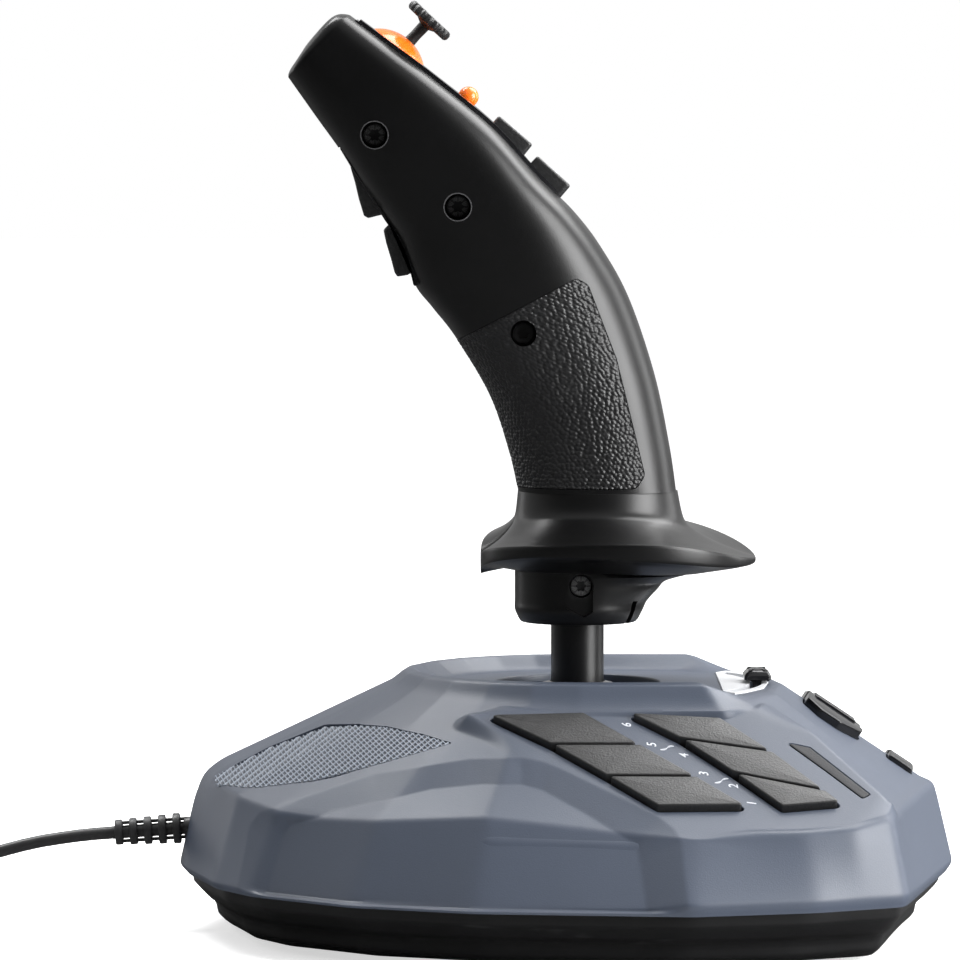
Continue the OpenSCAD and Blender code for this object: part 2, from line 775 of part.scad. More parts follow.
// Side outline of the leather-grained pad
module pad_outline(shrink) {
    translate([stick_x, 0, 0]) rotate([90, 0, 0]) translate([0, 0, -40]) linear_extrude(80) polygon([
        [-60, 158.3 - 0.42 * 27.4 - shrink], [-32.6, 158.3 - shrink], [-0.6, 175.2 - shrink],
        [2.6 - shrink, 173.4], [10.2 - shrink, 153.6], [17.8 - shrink, 122.6],
        [15.4 - shrink, 119 + shrink], [-60, 119 + shrink]
    ]);
}

// Outline of the face plate in the frame of the face, x from the tip to the tongue
module face_outline(shrink) {
    hull() {
        translate([1.5 + shrink, -12 + shrink]) square([10, 24 - 2 * shrink]);
        translate([66, 0]) circle(r = 8.2 - shrink, $fn = 32);
        translate([40, 0]) circle(r = 13 - shrink, $fn = 32);
    }
}

// The face plate's outline carried through the rear wall of the grip
module face_prism(shrink) {
    on_face() translate([0, 0, -6]) linear_extrude(20) face_outline(shrink);
}

module control_openings(grow) {
    on_thumb() sphere(r = dome_r + play);
    on_hat() translate([0, 0, -8]) cylinder(r = 6.2, h = 16);
    for (b = button_places) {
        at_place(b, b[2]) translate([-button_size.x / 2 - grow, -button_size.y / 2 - grow, -8])
            cube([button_size.x + 2 * grow, button_size.y + 2 * grow, 14]);
    }
}

module grip_shell() {
    difference() {
        grip_body(0, 0, 1, true);
        difference() {
            grip_cavity();
            screw_bosses();
        }
        difference() {
            union() {
                pad_outline(0);
                face_prism(0);
            }
            grip_body(-pad_t, 0, 1, false);
        }
        translate([stick_x, 0, 100]) cylinder(r = shaft_d / 2, h = 40);
        control_openings(play);
        on_triggers() translate([-2.1, -9.1, -4]) cube([42.2, 18.2, 11]);
        screw_bores();
    }
}

// Screw bores: recess and head from the left, shank into the right
module screw_bores() {
    for (p = screw_places) {
        translate([stick_x + p[0], 0, p[1]]) {
            bar_y(3.5, -30, -13);
            bar_y(1.6, -14, 13);
        }
    }
}

module screw_bosses() {
    for (p = screw_places) {
        translate([stick_x + p[0], 0, p[1]]) bar_y(4.2, -30, 30);
    }
}

// Space inside the grip, for what is held between its two shells
module grip_cavity() {
    grip_body(-grip_wall, 0.05, 0.975, false);
}

module grip_half(side) {
    difference() {
        grip_shell();
        translate([-150, side > 0 ? -100 : 0, 80]) cube([300, 100, 200]);
    }
}

module handle_left() {
    color(black) grip_half(-1);
}

module handle_right() {
    color(black) grip_half(1);
}

module finger_grip() {
    color(rubber) intersection() {
        difference() {
            grip_body(0, 0, 1, false);
            grip_body(-pad_t, 0, 1, false);
        }
        pad_outline(play);
    }
}

module face_plate() {
    color(black) difference() {
        intersection() {
            difference() {
                grip_body(1, 0, 1, true);
                grip_body(-pad_t, 0, 1, false);
            }
            face_prism(play);
        }
        control_openings(play);
    }
}

module handle_screws() {
    color(steel) for (p = screw_places) {
        translate([stick_x + p[0], 0, p[1]]) {
            bar_y(3, -15, -13);
            bar_y(1.6, -13, 13);
        }
    }
}

module handle_board() {
    color(board_green) intersection() {
        at_place([-6, 175], -55) cube([22, 50, 1.6], center = true);
        grip_cavity();
    }
}

module trigger_bezel() {
    color(black) on_triggers() {
        difference() {
            rotate([90, 0, 0]) translate([0, 0, -9]) linear_extrude(18) polygon([
                [-2, 0.1], [4, 0.4], [9, 0.9], [15, 1.3], [20.5, 1.7], [26, 2.3], [30, 2.2], [35, 1.5],
                [40, 0.2], [40, 2.6], [35, 3.9], [30, 4.6], [26, 4.7], [20.5, 4.1], [15, 3.7], [9, 3.3],
                [4, 2.8], [-2, 2.5]
            ]);
            translate([2.6, -6.4, -1]) cube([17.3, 12.8, 8]);
            translate([21.7, -6.4, -1]) cube([15.7, 12.8, 8]);
            for (x = trigger_pivots) translate([x, 0, 5]) bar_y(1.2, -12, 12);
        }
        for (x = trigger_pivots) {
            mirrored() difference() {
                translate([x - 2.4, 6.6, 2.4]) cube([4.8, 2.4, 4.4]);
                translate([x, 0, 5]) bar_y(1.2, 0, 12);
            }
        }
    }
}

// Trigger seen from the side, as [x, z]; x runs down from the top of the bezel, z into the grip
module trigger(pivot, profile) {
    color(black) on_triggers() {
        rotate([90, 0, 0]) translate([0, 0, -6]) linear_extrude(12) polygon(profile);
        translate([pivot, 0, 5]) bar_y(1, -8.8, 8.8);
    }
}

module trigger_upper() {
    trigger(trigger_pivots[0], [
        [3.4, 6.6], [3.4, 0.8], [4, 0.2], [8, -0.6], [12.5, -1.8], [17.1, -2.7], [18.2, -2],
        [19.2, 2], [18.7, 6.6]
    ]);
}

module trigger_lower() {
    trigger(trigger_pivots[1], [
        [22.3, 6.6], [22.3, 1.9], [22.9, 0.1], [26.3, -0.9], [30.4, -1.7], [34.2, -2.6], [35.6, -2.5],
        [36.5, 0.1], [36.3, 6.6]
    ]);
}

module thumb_bracket() {
    color(black) intersection() {
        on_thumb() translate([-4, -25, -9.4]) cube([8, 50, 1.6]);
        grip_cavity();
    }
    color(black) on_thumb() {
        mirrored() difference() {
            translate([-2, 8, -8]) cube([4, 1.6, 10]);
            bar_y(1.2, 0, 20);
        }
    }
}

module thumb_yoke() {
    color(steel) on_thumb() difference() {
        union() {
            translate([0, 0, -1.5]) cylinder(r = 6, h = 3);
            bar_y(1, -9.4, 9.4);
        }
        translate([0, 0, -3]) cylinder(r = 4.2, h = 6);
        bar_x(0.9, -9, 9);
    }
}

module thumb_dome() {
    color(orange) on_thumb() {
        rotate_extrude($fn = 64) intersection() {
            difference() {
                circle(r = dome_r);
                circle(r = dome_r - 1.2);
            }
            polygon([[0, 0], [0, 30], [30, 30], [30, 30 / tan(54)]]);
        }
        cylinder(r = 1.6, h = dome_r - 1);
        translate([0, 0, -2]) cylinder(r = 3, h = 4);
        bar_x(0.7, -5.8, 5.8);
    }
}

module thumb_cap() {
    color(black) on_thumb() {
        translate([0, 0, dome_r - 0.1]) cylinder(r = 1.6, h = 6.2);
        translate([0, 0, dome_r + 6.1]) cylinder(r = 7, h = 2.7);
    }
}

module hat_pad() {
    color(black) on_hat() difference() {
        translate([0, 0, -8]) cylinder(r = 6.2, h = 9.4);
        translate([0, 0, -9]) cylinder(r = 4.6, h = 12);
        translate([0, 0, -hat_depth]) bar_y(0.7, -8, 8);
    }
}

module hat_yoke() {
    color(steel) on_hat() translate([0, 0, -hat_depth]) difference() {
        union() {
            translate([0, 0, -1]) cylinder(r = 3.4, h = 2);
            bar_y(0.5, -6, 6);
        }
        translate([0, 0, -2]) cylinder(r = 2.2, h = 4);
        bar_x(0.65, -5, 5);
    }
}

module hat_ball() {
    color(orange) on_hat() {
        translate([0, 0, 3]) sphere(r = 2.75);
        translate([0, 0, -hat_depth]) cylinder(r = 0.9, h = hat_depth + 1);
        translate([0, 0, -hat_depth]) bar_x(0.5, -3.2, 3.2);
        translate([0, 0, -hat_depth]) sphere(r = 1.5);
    }
}

module face_button(b) {
    color(black) at_place(b, b[2]) {
        translate([-button_size.x / 2, -button_size.y / 2, -5.4]) cube(button_size);
    }
}

module face_button_upper() {
    face_button(button_places[0]);
}

module face_button_lower() {
    face_button(button_places[1]);
}

base_cover();
base_pan();
rubber_feet();
pan_screws();
ballast_weights();
main_board();
gimbal_frame();
throttle_track();
light_bars();
button_membranes();
pitch_springs();
strain_relief();
usb_cable();
cable_coil();
cable_tie();
usb_plug();
base_key(-1, 1);  // left_button_1
base_key(-1, 2);  // left_button_2
base_key(-1, 3);  // left_button_3
base_key(-1, 4);  // left_button_4
base_key(-1, 5);  // left_button_5
base_key(-1, 6);  // left_button_6
base_key(1, 1);  // right_button_1
base_key(1, 2);  // right_button_2
base_key(1, 3);  // right_button_3
base_key(1, 4);  // right_button_4
base_key(1, 5);  // right_button_5
base_key(1, 6);  // right_button_6
cruise_key(-1);  // cruise_key_left
cruise_key(1);  // cruise_key_right
rear_key(-1);  // rear_key_left
rear_key(1);  // rear_key_right
throttle_lever();
gimbal_ring();
roll_springs();
gimbal_block();
dust_cap();
stick_shaft();
hub();
hub_screw();
hand_rest();
handle_left();
handle_right();
finger_grip();
face_plate();
handle_screws();
handle_board();
trigger_bezel();
thumb_bracket();
hat_pad();
trigger_upper();
trigger_lower();
thumb_yoke();
thumb_dome();
thumb_cap();
hat_yoke();
hat_ball();
face_button_upper();
face_button_lower();
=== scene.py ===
import math

import bmesh
import bpy
import numpy as np
from mathutils import Matrix, Vector


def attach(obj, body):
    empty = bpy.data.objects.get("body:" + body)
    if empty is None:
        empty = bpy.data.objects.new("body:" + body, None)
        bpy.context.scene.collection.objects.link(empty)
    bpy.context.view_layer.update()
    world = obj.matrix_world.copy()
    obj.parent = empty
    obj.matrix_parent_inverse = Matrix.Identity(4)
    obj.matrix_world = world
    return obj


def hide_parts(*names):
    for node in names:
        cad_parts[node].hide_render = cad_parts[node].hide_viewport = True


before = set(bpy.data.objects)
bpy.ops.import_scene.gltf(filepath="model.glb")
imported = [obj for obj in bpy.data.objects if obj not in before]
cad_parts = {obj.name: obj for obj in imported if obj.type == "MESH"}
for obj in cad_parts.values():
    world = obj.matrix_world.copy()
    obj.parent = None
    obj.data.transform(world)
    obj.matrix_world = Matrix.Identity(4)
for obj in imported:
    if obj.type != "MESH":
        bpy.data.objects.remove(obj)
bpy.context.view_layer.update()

MM = 0.001
STICK_X = 3.0
SEAM_Z = 16.0
CABLE_D = 3.4
SIDES = ((-1, "left"), (1, "right"))


# ================= mesh helpers (millimetres) =================
# A shape is an array of points and a list of faces. An outline is a closed row of flat points.

def unit(v):
    return v / np.linalg.norm(v, axis=-1, keepdims=True)


def circle(r, n, z=0.0):
    a = np.arange(n) * 2 * math.pi / n
    return np.stack([r * np.cos(a), r * np.sin(a), np.full(n, z)], 1)


def arc(r, angles, z=0.0, up=1):
    """(radius, z) points of a circle at angles in radians from its top, or from its bottom if up is -1."""
    return [(r * math.sin(a), z + up * r * math.cos(a)) for a in angles]


def sweep(start, end, count):
    return np.radians(np.linspace(start, end, count))


def rectangle(x0, x1, y0, y1, radius=0.0, steps=6):
    corners = [[x0, y0], [x1, y0], [x1, y1], [x0, y1]]
    return round_corners(corners, radius, steps) if radius else np.array(corners, float)


def at_height(outline, z):
    return np.column_stack([outline, np.full(len(outline), z)])


def rotation(*turns):
    """3x3 matrix from (axis, degrees) pairs, the first one outermost."""
    m = np.identity(3)
    for axis, degrees in turns:
        m = m @ np.array(Matrix.Rotation(math.radians(degrees), 3, axis))
    return m


SIDE_ON = rotation(("X", 90))
ALONG_X = rotation(("Y", 90))


def skin(rings, joined=False):
    """Closed surface through rings of equal length, capped with fans or joined end to start."""
    rings = [np.asarray(r, float) for r in rings]
    n, m = len(rings[0]), len(rings)
    points = np.concatenate(rings)
    i = np.arange(n)
    k = (i + 1) % n
    faces = []
    for j in range(m if joined else m - 1):
        a, b = j * n, ((j + 1) % m) * n
        faces.append(np.stack([a + i, a + k, b + k, b + i], 1))
    faces = np.concatenate(faces).tolist()
    if not joined:
        points = np.concatenate([points, [rings[0].mean(0)], [rings[-1].mean(0)]])
        faces += [[m * n, int(q), int(p)] for p, q in zip(i, k)]
        last = (m - 1) * n
        faces += [[m * n + 1, last + int(p), last + int(q)] for p, q in zip(i, k)]
    return points, faces


def revolve(profile, n=96):
    """Solid of revolution from a closed (radius, z) outline off the axis, or one that ends on it."""
    return skin([circle(max(r, 1e-3), n, z=z) for r, z in profile], joined=profile[0][0] > 1e-6)


def prism(outline, z0, z1):
    return skin([at_height(outline, z) for z in (z0, z1)])


def rod(r, z0, z1, n=48):
    return prism(circle(r, n)[:, :2], z0, z1)


def stack(outline, levels):
    """Solid through copies of an outline, each moved inwards and set at a height by an (inset, z) pair."""
    return skin([at_height(inset(outline, d), z) for d, z in levels])


def merge(*shapes):
    points, faces, count = [], [], 0
    for p, f in shapes:
        points.append(p)
        faces += [[v + count for v in face] for face in f]
        count += len(p)
    return np.concatenate(points), faces


def place(shape, turn=None, at=(0, 0, 0)):
    points, faces = shape
    if turn is not None:
        points = points @ np.asarray(turn).T
    return points + np.asarray(at, float), faces


def mirrored(shape):
    return shape[0] * [1, -1, 1], [f[::-1] for f in shape[1]]


def on_side(shape, side):
    return shape if side > 0 else mirrored(shape)


def on_stick(shape):
    return place(shape, None, [STICK_X, 0, 0])


def across_stick(shape, x, y, z):
    """Lays a shape that stands along Z down along -Y, with x counted from the stick's axis."""
    return place(shape, SIDE_ON, [STICK_X + x, y, z])


def round_corners(points, radius, steps=6):
    points = np.asarray(points, float)
    n, out = len(points), []
    for i in range(n):
        r = radius[i] if hasattr(radius, "__len__") else radius
        p, a, b = points[i], points[i - 1], points[(i + 1) % n]
        la, lb = np.linalg.norm(a - p), np.linalg.norm(b - p)
        half = math.acos(np.clip(np.dot(a - p, b - p) / la / lb, -1, 1)) / 2
        t = min(r / max(math.tan(half), 0.05), 0.45 * la, 0.45 * lb)
        start, end = p + (a - p) / la * t, p + (b - p) / lb * t
        for k in range(steps + 1):
            q = k / steps
            out.append((1 - q) ** 2 * start + 2 * q * (1 - q) * p + q * q * end)
    return np.array(out)


def inset(outline, distance):
    """Outline moved inwards; the outline is convex or gently curved."""
    p = np.asarray(outline, float)
    edge = np.roll(p, -1, 0) - p
    length = np.linalg.norm(edge, axis=1, keepdims=True)
    length[length < 1e-9] = 1e-9
    edge = edge / length
    area = np.sum(p[:, 0] * np.roll(p[:, 1], -1) - np.roll(p[:, 0], -1) * p[:, 1])
    normal = np.stack([-edge[:, 1], edge[:, 0]], 1) * (1 if area > 0 else -1)
    both = normal + np.roll(normal, 1, 0)
    both /= np.maximum(np.sum(both * normal, 1, keepdims=True), 0.3)
    return p + both * distance


def block(outline, z0, z1, top=0.5, bottom=0.0, draft=0.0):
    """Prism with rounded top and bottom edges."""
    quarter = [k / 5 * math.pi / 2 for k in range(6)]
    levels = [(0.0, z0)]
    if bottom:
        levels = [(bottom * (1 - math.sin(a)), z0 + bottom * (1 - math.cos(a))) for a in quarter]
    levels += [(draft + top * (1 - math.cos(a)), z1 - top + top * math.sin(a)) for a in quarter]
    return stack(outline, levels)


def tube(path, radii, n):
    path = np.asarray(path, float)
    ahead = unit(np.gradient(path, axis=0))
    across = unit(np.cross([0, 0, 1], ahead))
    above = np.cross(ahead, across)
    c, s = circle(1.0, n).T[:2, :, None]
    radii = np.broadcast_to(radii, len(path))
    return skin([p + r * (c * u + s * w) for p, u, w, r in zip(path, across, above, radii)])


def on_curve(points, s):
    """Point of the smooth curve through points, where s counts points."""
    last = len(points) - 1
    i = min(int(s), last - 1)
    u = s - i
    a, b, c, d = points[max(i - 1, 0)], points[i], points[i + 1], points[min(i + 2, last)]
    square, cube = 2 * a - 5 * b + 4 * c - d, 3 * b - a - 3 * c + d
    return 0.5 * (2 * b + (c - a) * u + square * u ** 2 + cube * u ** 3)


def catmull(points, count):
    points = np.asarray(points, float)
    return np.array([on_curve(points, s) for s in np.linspace(0, len(points) - 1, count)])


def smooth_step(x):
    x = np.clip(x, 0, 1)
    return x * x * (3 - 2 * x)


def polygon_distance(points, polygon):
    """Signed distance of 2-D points to a closed polygon, negative inside."""
    points, polygon = np.asarray(points, float), np.asarray(polygon, float)
    best = np.full(len(points), 1e9)
    inside = np.zeros(len(points), bool)
    for a, b in zip(polygon, np.roll(polygon, -1, 0)):
        ab, ap = b - a, points - a
        t = np.clip(ap @ ab / max(ab @ ab, 1e-12), 0, 1)
        best = np.minimum(best, np.linalg.norm(ap - t[:, None] * ab, axis=1))
        crosses = (a[1] > points[:, 1]) != (b[1] > points[:, 1])
        span = b[1] - a[1] if abs(b[1] - a[1]) > 1e-12 else 1e-12
        inside ^= crosses & (points[:, 0] < (b[0] - a[0]) * (points[:, 1] - a[1]) / span + a[0])
    return np.where(inside, -best, best)


def linked(name, data):
    obj = bpy.data.objects.new(name, data)
    bpy.context.scene.collection.objects.link(obj)
    return obj


def to_object(name, shape):
    points, faces = shape
    mesh = bpy.data.meshes.new(name)
    mesh.from_pydata((np.asarray(points) * MM).tolist(), [], faces)
    work = bmesh.new()
    work.from_mesh(mesh)
    bmesh.ops.recalc_face_normals(work, faces=work.faces)
    work.to_mesh(mesh)
    work.free()
    return linked(name, mesh)


def shape_of(mesh):
    return np.array([v.co for v in mesh.vertices]), [list(p.vertices) for p in mesh.polygons]


def evaluated_mesh(obj):
    depsgraph = bpy.context.evaluated_depsgraph_get()
    return bpy.data.meshes.new_from_object(obj.evaluated_get(depsgraph))


def carve(obj, *others, how="DIFFERENCE"):
    """Boolean with Manifold; others are shapes or objects, and objects are used up."""
    for other in others:
        tool = other if isinstance(other, bpy.types.Object) else to_object("tool", other)
        modifier = obj.modifiers.new("carve", "BOOLEAN")
        modifier.operation = how
        modifier.solver = "MANIFOLD"
        modifier.object = tool
        result = evaluated_mesh(obj)
        obj.modifiers.clear()
        old, obj.data = obj.data, result
        bpy.data.meshes.remove(old)
        bpy.data.objects.remove(tool)
    return obj


def finish_piece(obj, material, body, replaces=(), angle=30):
    mesh = obj.data
    mesh.materials.clear()
    mesh.materials.append(material)
    mesh.polygons.foreach_set("material_index", [0] * len(mesh.polygons))
    mesh.shade_smooth()
    mesh.set_sharp_from_angle(angle=math.radians(angle))
    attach(obj, body)
    if replaces:
        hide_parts(*replaces)
    return obj


def piece(name, shape, material, body, replaces=(), angle=30):
    return finish_piece(to_object(name, shape), material, body, replaces, angle)


# ================= camera =================

camera = linked("camera", bpy.data.cameras.new("camera"))
camera.location = (-0.02313, -1.69683, 0.22435)
camera.rotation_euler = (math.radians(86.5), 0, 0)
camera.data.sensor_width = 36
camera.data.lens = 237.9
camera.data.clip_start = 0.05
camera.data.clip_end = 50
bpy.context.scene.camera = camera
bpy.context.scene.view_settings.view_transform = "Standard"


# ================= materials =================

def feed(tree, node, inputs):
    """Sets each named socket to a constant, or links it to the output that is given for it."""
    for key, value in inputs.items():
        if isinstance(value, bpy.types.NodeSocket):
            tree.links.new(value, node.inputs[key])
        else:
            node.inputs[key].default_value = value


def add_node(tree, kind, output, inputs=None, **settings):
    """Adds a shader node and returns one of its outputs."""
    node = tree.nodes.new("ShaderNode" + kind)
    for key, value in settings.items():
        setattr(node, key, value)
    feed(tree, node, inputs or {})
    return node.outputs[output]


def remap(tree, value, low, high, start=0.3, end=0.7, **settings):
    """Value brought from start..end to low..high."""
    inputs = {"Value": value, "From Min": start, "From Max": end, "To Min": low, "To Max": high}
    return add_node(tree, "MapRange", "Result", inputs, **settings)


def mix_in(tree, factor, color):
    """Mixes a colour into the shader's base colour by a factor."""
    base = tree.nodes["Principled BSDF"].inputs["Base Color"]
    inputs = {"Factor": factor, "A": base.links[0].from_socket, "B": (*color, 1)}
    tree.links.new(add_node(tree, "Mix", "Result", inputs, data_type="RGBA"), base)


def material(name, color, rough, metallic=0.0, spread=0.12, grain=1800.0, bump=0.12, rough_spread=0.08,
             wear=0.0, wear_color=None, **sockets):
    """Procedural finish: slow colour drift, fine grain in bump and roughness, and lighter worn edges."""
    mat = bpy.data.materials.new(name)
    mat.use_nodes = True
    tree = mat.node_tree
    where = add_node(tree, "TexCoord", "Object")
    drift = add_node(tree, "TexNoise", "Fac", {"Vector": where, "Scale": 22.0, "Detail": 5.0})
    small = {"Vector": where, "Scale": grain, "Detail": 3.0, "Roughness": 0.6}
    fine = add_node(tree, "TexNoise", "Fac", small)
    tone = remap(tree, drift, 1 - spread, 1 + spread)
    speck = remap(tree, fine, 1 - spread * 0.8, 1 + spread * 0.8)
    both = add_node(tree, "Math", "Value", {0: tone, 1: speck}, operation="MULTIPLY")
    feed(tree, tree.nodes["Principled BSDF"], {
        "Metallic": metallic,
        "Base Color": add_node(tree, "VectorMath", "Vector", {0: color, "Scale": both}, operation="SCALE"),
        "Roughness": remap(tree, drift, max(0.02, rough - rough_spread), rough + rough_spread),
        "Normal": add_node(tree, "Bump", "Normal", {"Strength": bump, "Distance": 0.0002, "Height": fine}),
        **{key.replace("_", " "): value for key, value in sockets.items()}
    })
    if wear:
        edge = remap(tree, add_node(tree, "NewGeometry", "Pointiness"), 0.0, wear, 0.53, 0.62)
        mix_in(tree, edge, wear_color or [min(1, c * 2.2 + 0.03) for c in color])
    return mat


SLATE = material("slate_satin", (0.044, 0.056, 0.083), 0.47, spread=0.05, grain=2600, bump=0.2,
                 rough_spread=0.03, wear=0.12, wear_color=(0.16, 0.18, 0.23), Specular_IOR_Level=0.62)
TREAD = material("slate_tread", (0.03, 0.038, 0.056), 0.45, spread=0.05, grain=2600, bump=0.1)
# the tread is a darker tone of the slate, and its ridges are mixed to a lighter colour: a painted highlight
# along the ridge tops
tree = TREAD.node_tree
mix_in(tree, add_node(tree, "Attribute", "Fac", attribute_name="ridge"), (0.2, 0.23, 0.28))
# lighter grey for the thin rings round the screw recesses: a painted highlight on the recess edges
RIM_PAINTED_HIGHLIGHT = material("recess_rim_painted_highlight", (0.06, 0.06, 0.062), 0.2, spread=0.1, grain=2600, bump=0.05)
PAN = material("pan_black", (0.007, 0.007, 0.0075), 0.36, grain=2200, bump=0.15, wear=0.15,
               Specular_IOR_Level=0.4)
SHELL = material("grip_black", (0.003, 0.003, 0.0032), 0.32, spread=0.1, grain=3200, bump=0.1,
                 rough_spread=0.03, wear=0.12, Specular_IOR_Level=0.4)
KEY = material("key_black", (0.012, 0.012, 0.0125), 0.36, spread=0.3, grain=1700, bump=0.55,
               rough_spread=0.05, wear=0.25)
GLOSS = material("gloss_black", (0.007, 0.007, 0.008), 0.16, grain=900, bump=0.03, rough_spread=0.05,
                 wear=0.2)
LEATHER = material("leather_rubber", (0.008, 0.008, 0.0085), 0.36, spread=0.2, grain=2400, bump=0.3, wear=0.3,
                   wear_color=(0.06, 0.06, 0.06))
FOOT = material("foot_rubber", (0.03, 0.03, 0.03), 0.7, grain=1500, bump=0.3)
# the orange plastic's emission is a painted glow: the dome and the hat ball light themselves a little
ORANGE = material("orange_plastic", (0.9, 0.17, 0.012), 0.24, spread=0.06, grain=1500, bump=0.03,
                  Subsurface_Weight=0.2, Subsurface_Radius=(1.0, 0.35, 0.08), Subsurface_Scale=0.002,
                  Coat_Weight=0.3, Emission_Color=(1.0, 0.2, 0.01, 1), Emission_Strength=0.12)
SILVER = material("silver_plate", (0.74, 0.75, 0.77), 0.36, metallic=0.35, spread=0.06, grain=2500, bump=0.15)
LENS = material("smoke_lens", (0.012, 0.0125, 0.015), 0.45, spread=0.2, grain=2600, bump=0.4,
                Specular_IOR_Level=0.3)
STEEL = material("steel", (0.45, 0.45, 0.46), 0.34, metallic=1.0, grain=1500, bump=0.15, wear=0.2)
SCREW = material("screw_black", (0.03, 0.03, 0.031), 0.3, metallic=0.6, grain=2500, bump=0.15, wear=0.5,
                 wear_color=(0.25, 0.25, 0.25))
BOARD = material("board_green", (0.02, 0.15, 0.07), 0.4, grain=800, bump=0.1)
MEMBRANE = material("membrane_grey", (0.25, 0.25, 0.26), 0.6, grain=1200, bump=0.2)
JACKET = material("cable_jacket", (0.02, 0.02, 0.021), 0.38, grain=1600, bump=0.15, wear=0.1)
PRINT = material("white_print", (0.55, 0.57, 0.62), 0.5, grain=2400, bump=0.05)


# ================= cord =================

RELIEF_FROM = np.array([-101.6, 0, 27.0])
RELIEF_TO = np.array([-122.0, 0, 25.6])
LEAD = [
    [-126, 0, 25.3], [-131, 0, 24.8], [-136, 0, 24.1], [-141, 0, 23.3], [-146, 0, 22.2], [-151, -0.1, 20.9],
    [-156, -0.3, 19.5], [-161, -0.7, 18.1], [-166, -1.2, 16.8], [-171, -1.8, 15.7], [-176, -2.4, 14.9],
    [-180, -2.9, 14.3]
]
TAIL = [
    [-213.4, 28, 2.2], [-213.4, 33, 1.9], [-213.3, 38, 1.8], [-212.8, 43, 1.8], [-211.4, 48, 1.9],
    [-208.9, 52.4, 2.4], [-205.4, 55.8, 3.2], [-201.4, 57.6, 4]
]
PLUG_AT = np.array([-197.0, 58, 4.5])
COIL_AT = np.array([-188.0, 22.0])
COIL_R, COIL_INNER = 25.5, 13.6
LAYER_Z = [12.6, 9.2, 5.8, 2.4]
LAYER_TURN, SHIFT_TURN = 1260.0, 30.0


def coil_points(step=12.0):
    """Four layers, wound in and out by turns, from the front of the top one to the left of the bottom one."""
    out, angle = [], -90.0
    for layer, z in enumerate(LAYER_Z):
        r0, r1 = (COIL_R, COIL_INNER) if layer % 2 == 0 else (COIL_INNER, COIL_R)
        count = int(LAYER_TURN / step)
        for k in range(count + 1):
            r = r0 + (r1 - r0) * k / count
            a = math.radians(angle - k * step)
            out.append([COIL_AT[0] + r * math.cos(a), COIL_AT[1] + r * math.sin(a), z])
        angle -= LAYER_TURN
        if layer < 3:
            for q in (1 / 3, 2 / 3):
                a = math.radians(angle - SHIFT_TURN * q)
                z_mid = z + (LAYER_Z[layer + 1] - z) * float(smooth_step(q))
                out.append([COIL_AT[0] + r1 * math.cos(a), COIL_AT[1] + r1 * math.sin(a), z_mid])
            angle -= SHIFT_TURN
    return out


inner = [(RELIEF_FROM + (RELIEF_TO - RELIEF_FROM) * q).tolist() for q in np.linspace(-0.1, 1, 6)]
cord_path = np.array(inner + LEAD + coil_points() + TAIL + [PLUG_AT.tolist(), (PLUG_AT + [3, 0, 0]).tolist()])
cable = piece("usb_lead", tube(cord_path, CABLE_D / 2, 12), JACKET, "base",
              ["usb_cable", "cable_coil"], 60)


def relief_shape():
    """Five ribs on a thin core, joined by a strut along the top and one along the bottom."""
    way = unit(RELIEF_TO - RELIEF_FROM)
    length = float(np.linalg.norm(RELIEF_TO - RELIEF_FROM))
    across = np.array([0.0, 1.0, 0.0])
    above = np.cross(way, across)

    def lathe(profile):
        c, s = circle(1.0, 48).T[:2, :, None]
        return skin([RELIEF_FROM + way * h + r * (c * across + s * above) for h, r in profile])

    parts = [lathe([(-4, 2.85), (0.6, 2.85), (0.95, 2.7), (1.05, 2.4)])]
    parts.append(lathe([(-4, 1.75), (length - 0.1, 1.75)]))
    rib = [(0, 1), (0, 0.3), (0.1, 0.1), (0.35, 0), (1.65, 0), (1.9, 0.1), (2, 0.3), (2, 1)]
    for i in range(5):
        start, r = 2 + 3.9 * i, 4.1 - 0.17 * i
        parts.append(lathe([(start + h, r - drop) for h, drop in rib]))
    lean = math.degrees(math.atan2(-way[2], -way[0]))
    strut = rectangle(2.5 - length, 0, -0.9, 0.9, 0.3)
    for z in (-2.45, 2.45):
        parts.append(place(block(strut, z - 0.4, z + 0.4, 0.15, 0.15), rotation(("Y", -lean)), RELIEF_FROM))
    return merge(*parts)


relief = piece("relief_boot", relief_shape(), JACKET, "base", ["strain_relief"])


def tie_shape():
    """Flat band round the coil's section, with a locking head on top."""
    loop = rectangle(COIL_INNER - 1.75, COIL_R + 2.1, 0.35, 14.75, 1.5, 8)
    rings = []
    for (ox, oz), (ix, iz) in zip(inset(loop, -0.3), inset(loop, 0.3)):
        rings.append([[ox, -1.8, oz], [ox, 1.8, oz], [ix, 1.8, iz], [ix, -1.8, iz]])
    head = block(rectangle(-3, 3, -2.7, 2.7, 0.8), 0, 1.5, 0.4, 0.3)
    band = merge(skin(rings, joined=True), place(head, None, [COIL_R - 3.5, 0, 14.8]))
    return place(band, None, [*COIL_AT, 0])


tie = piece("lead_tie", tie_shape(), JACKET, "base", ["cable_tie"])


def along_x(outline, levels):
    """Solid through copies of an outline that stand across X, from (x, inset) pairs."""
    return skin([np.column_stack([np.full(len(outline), x), inset(outline, d)[:, ::-1]]) for x, d in levels])


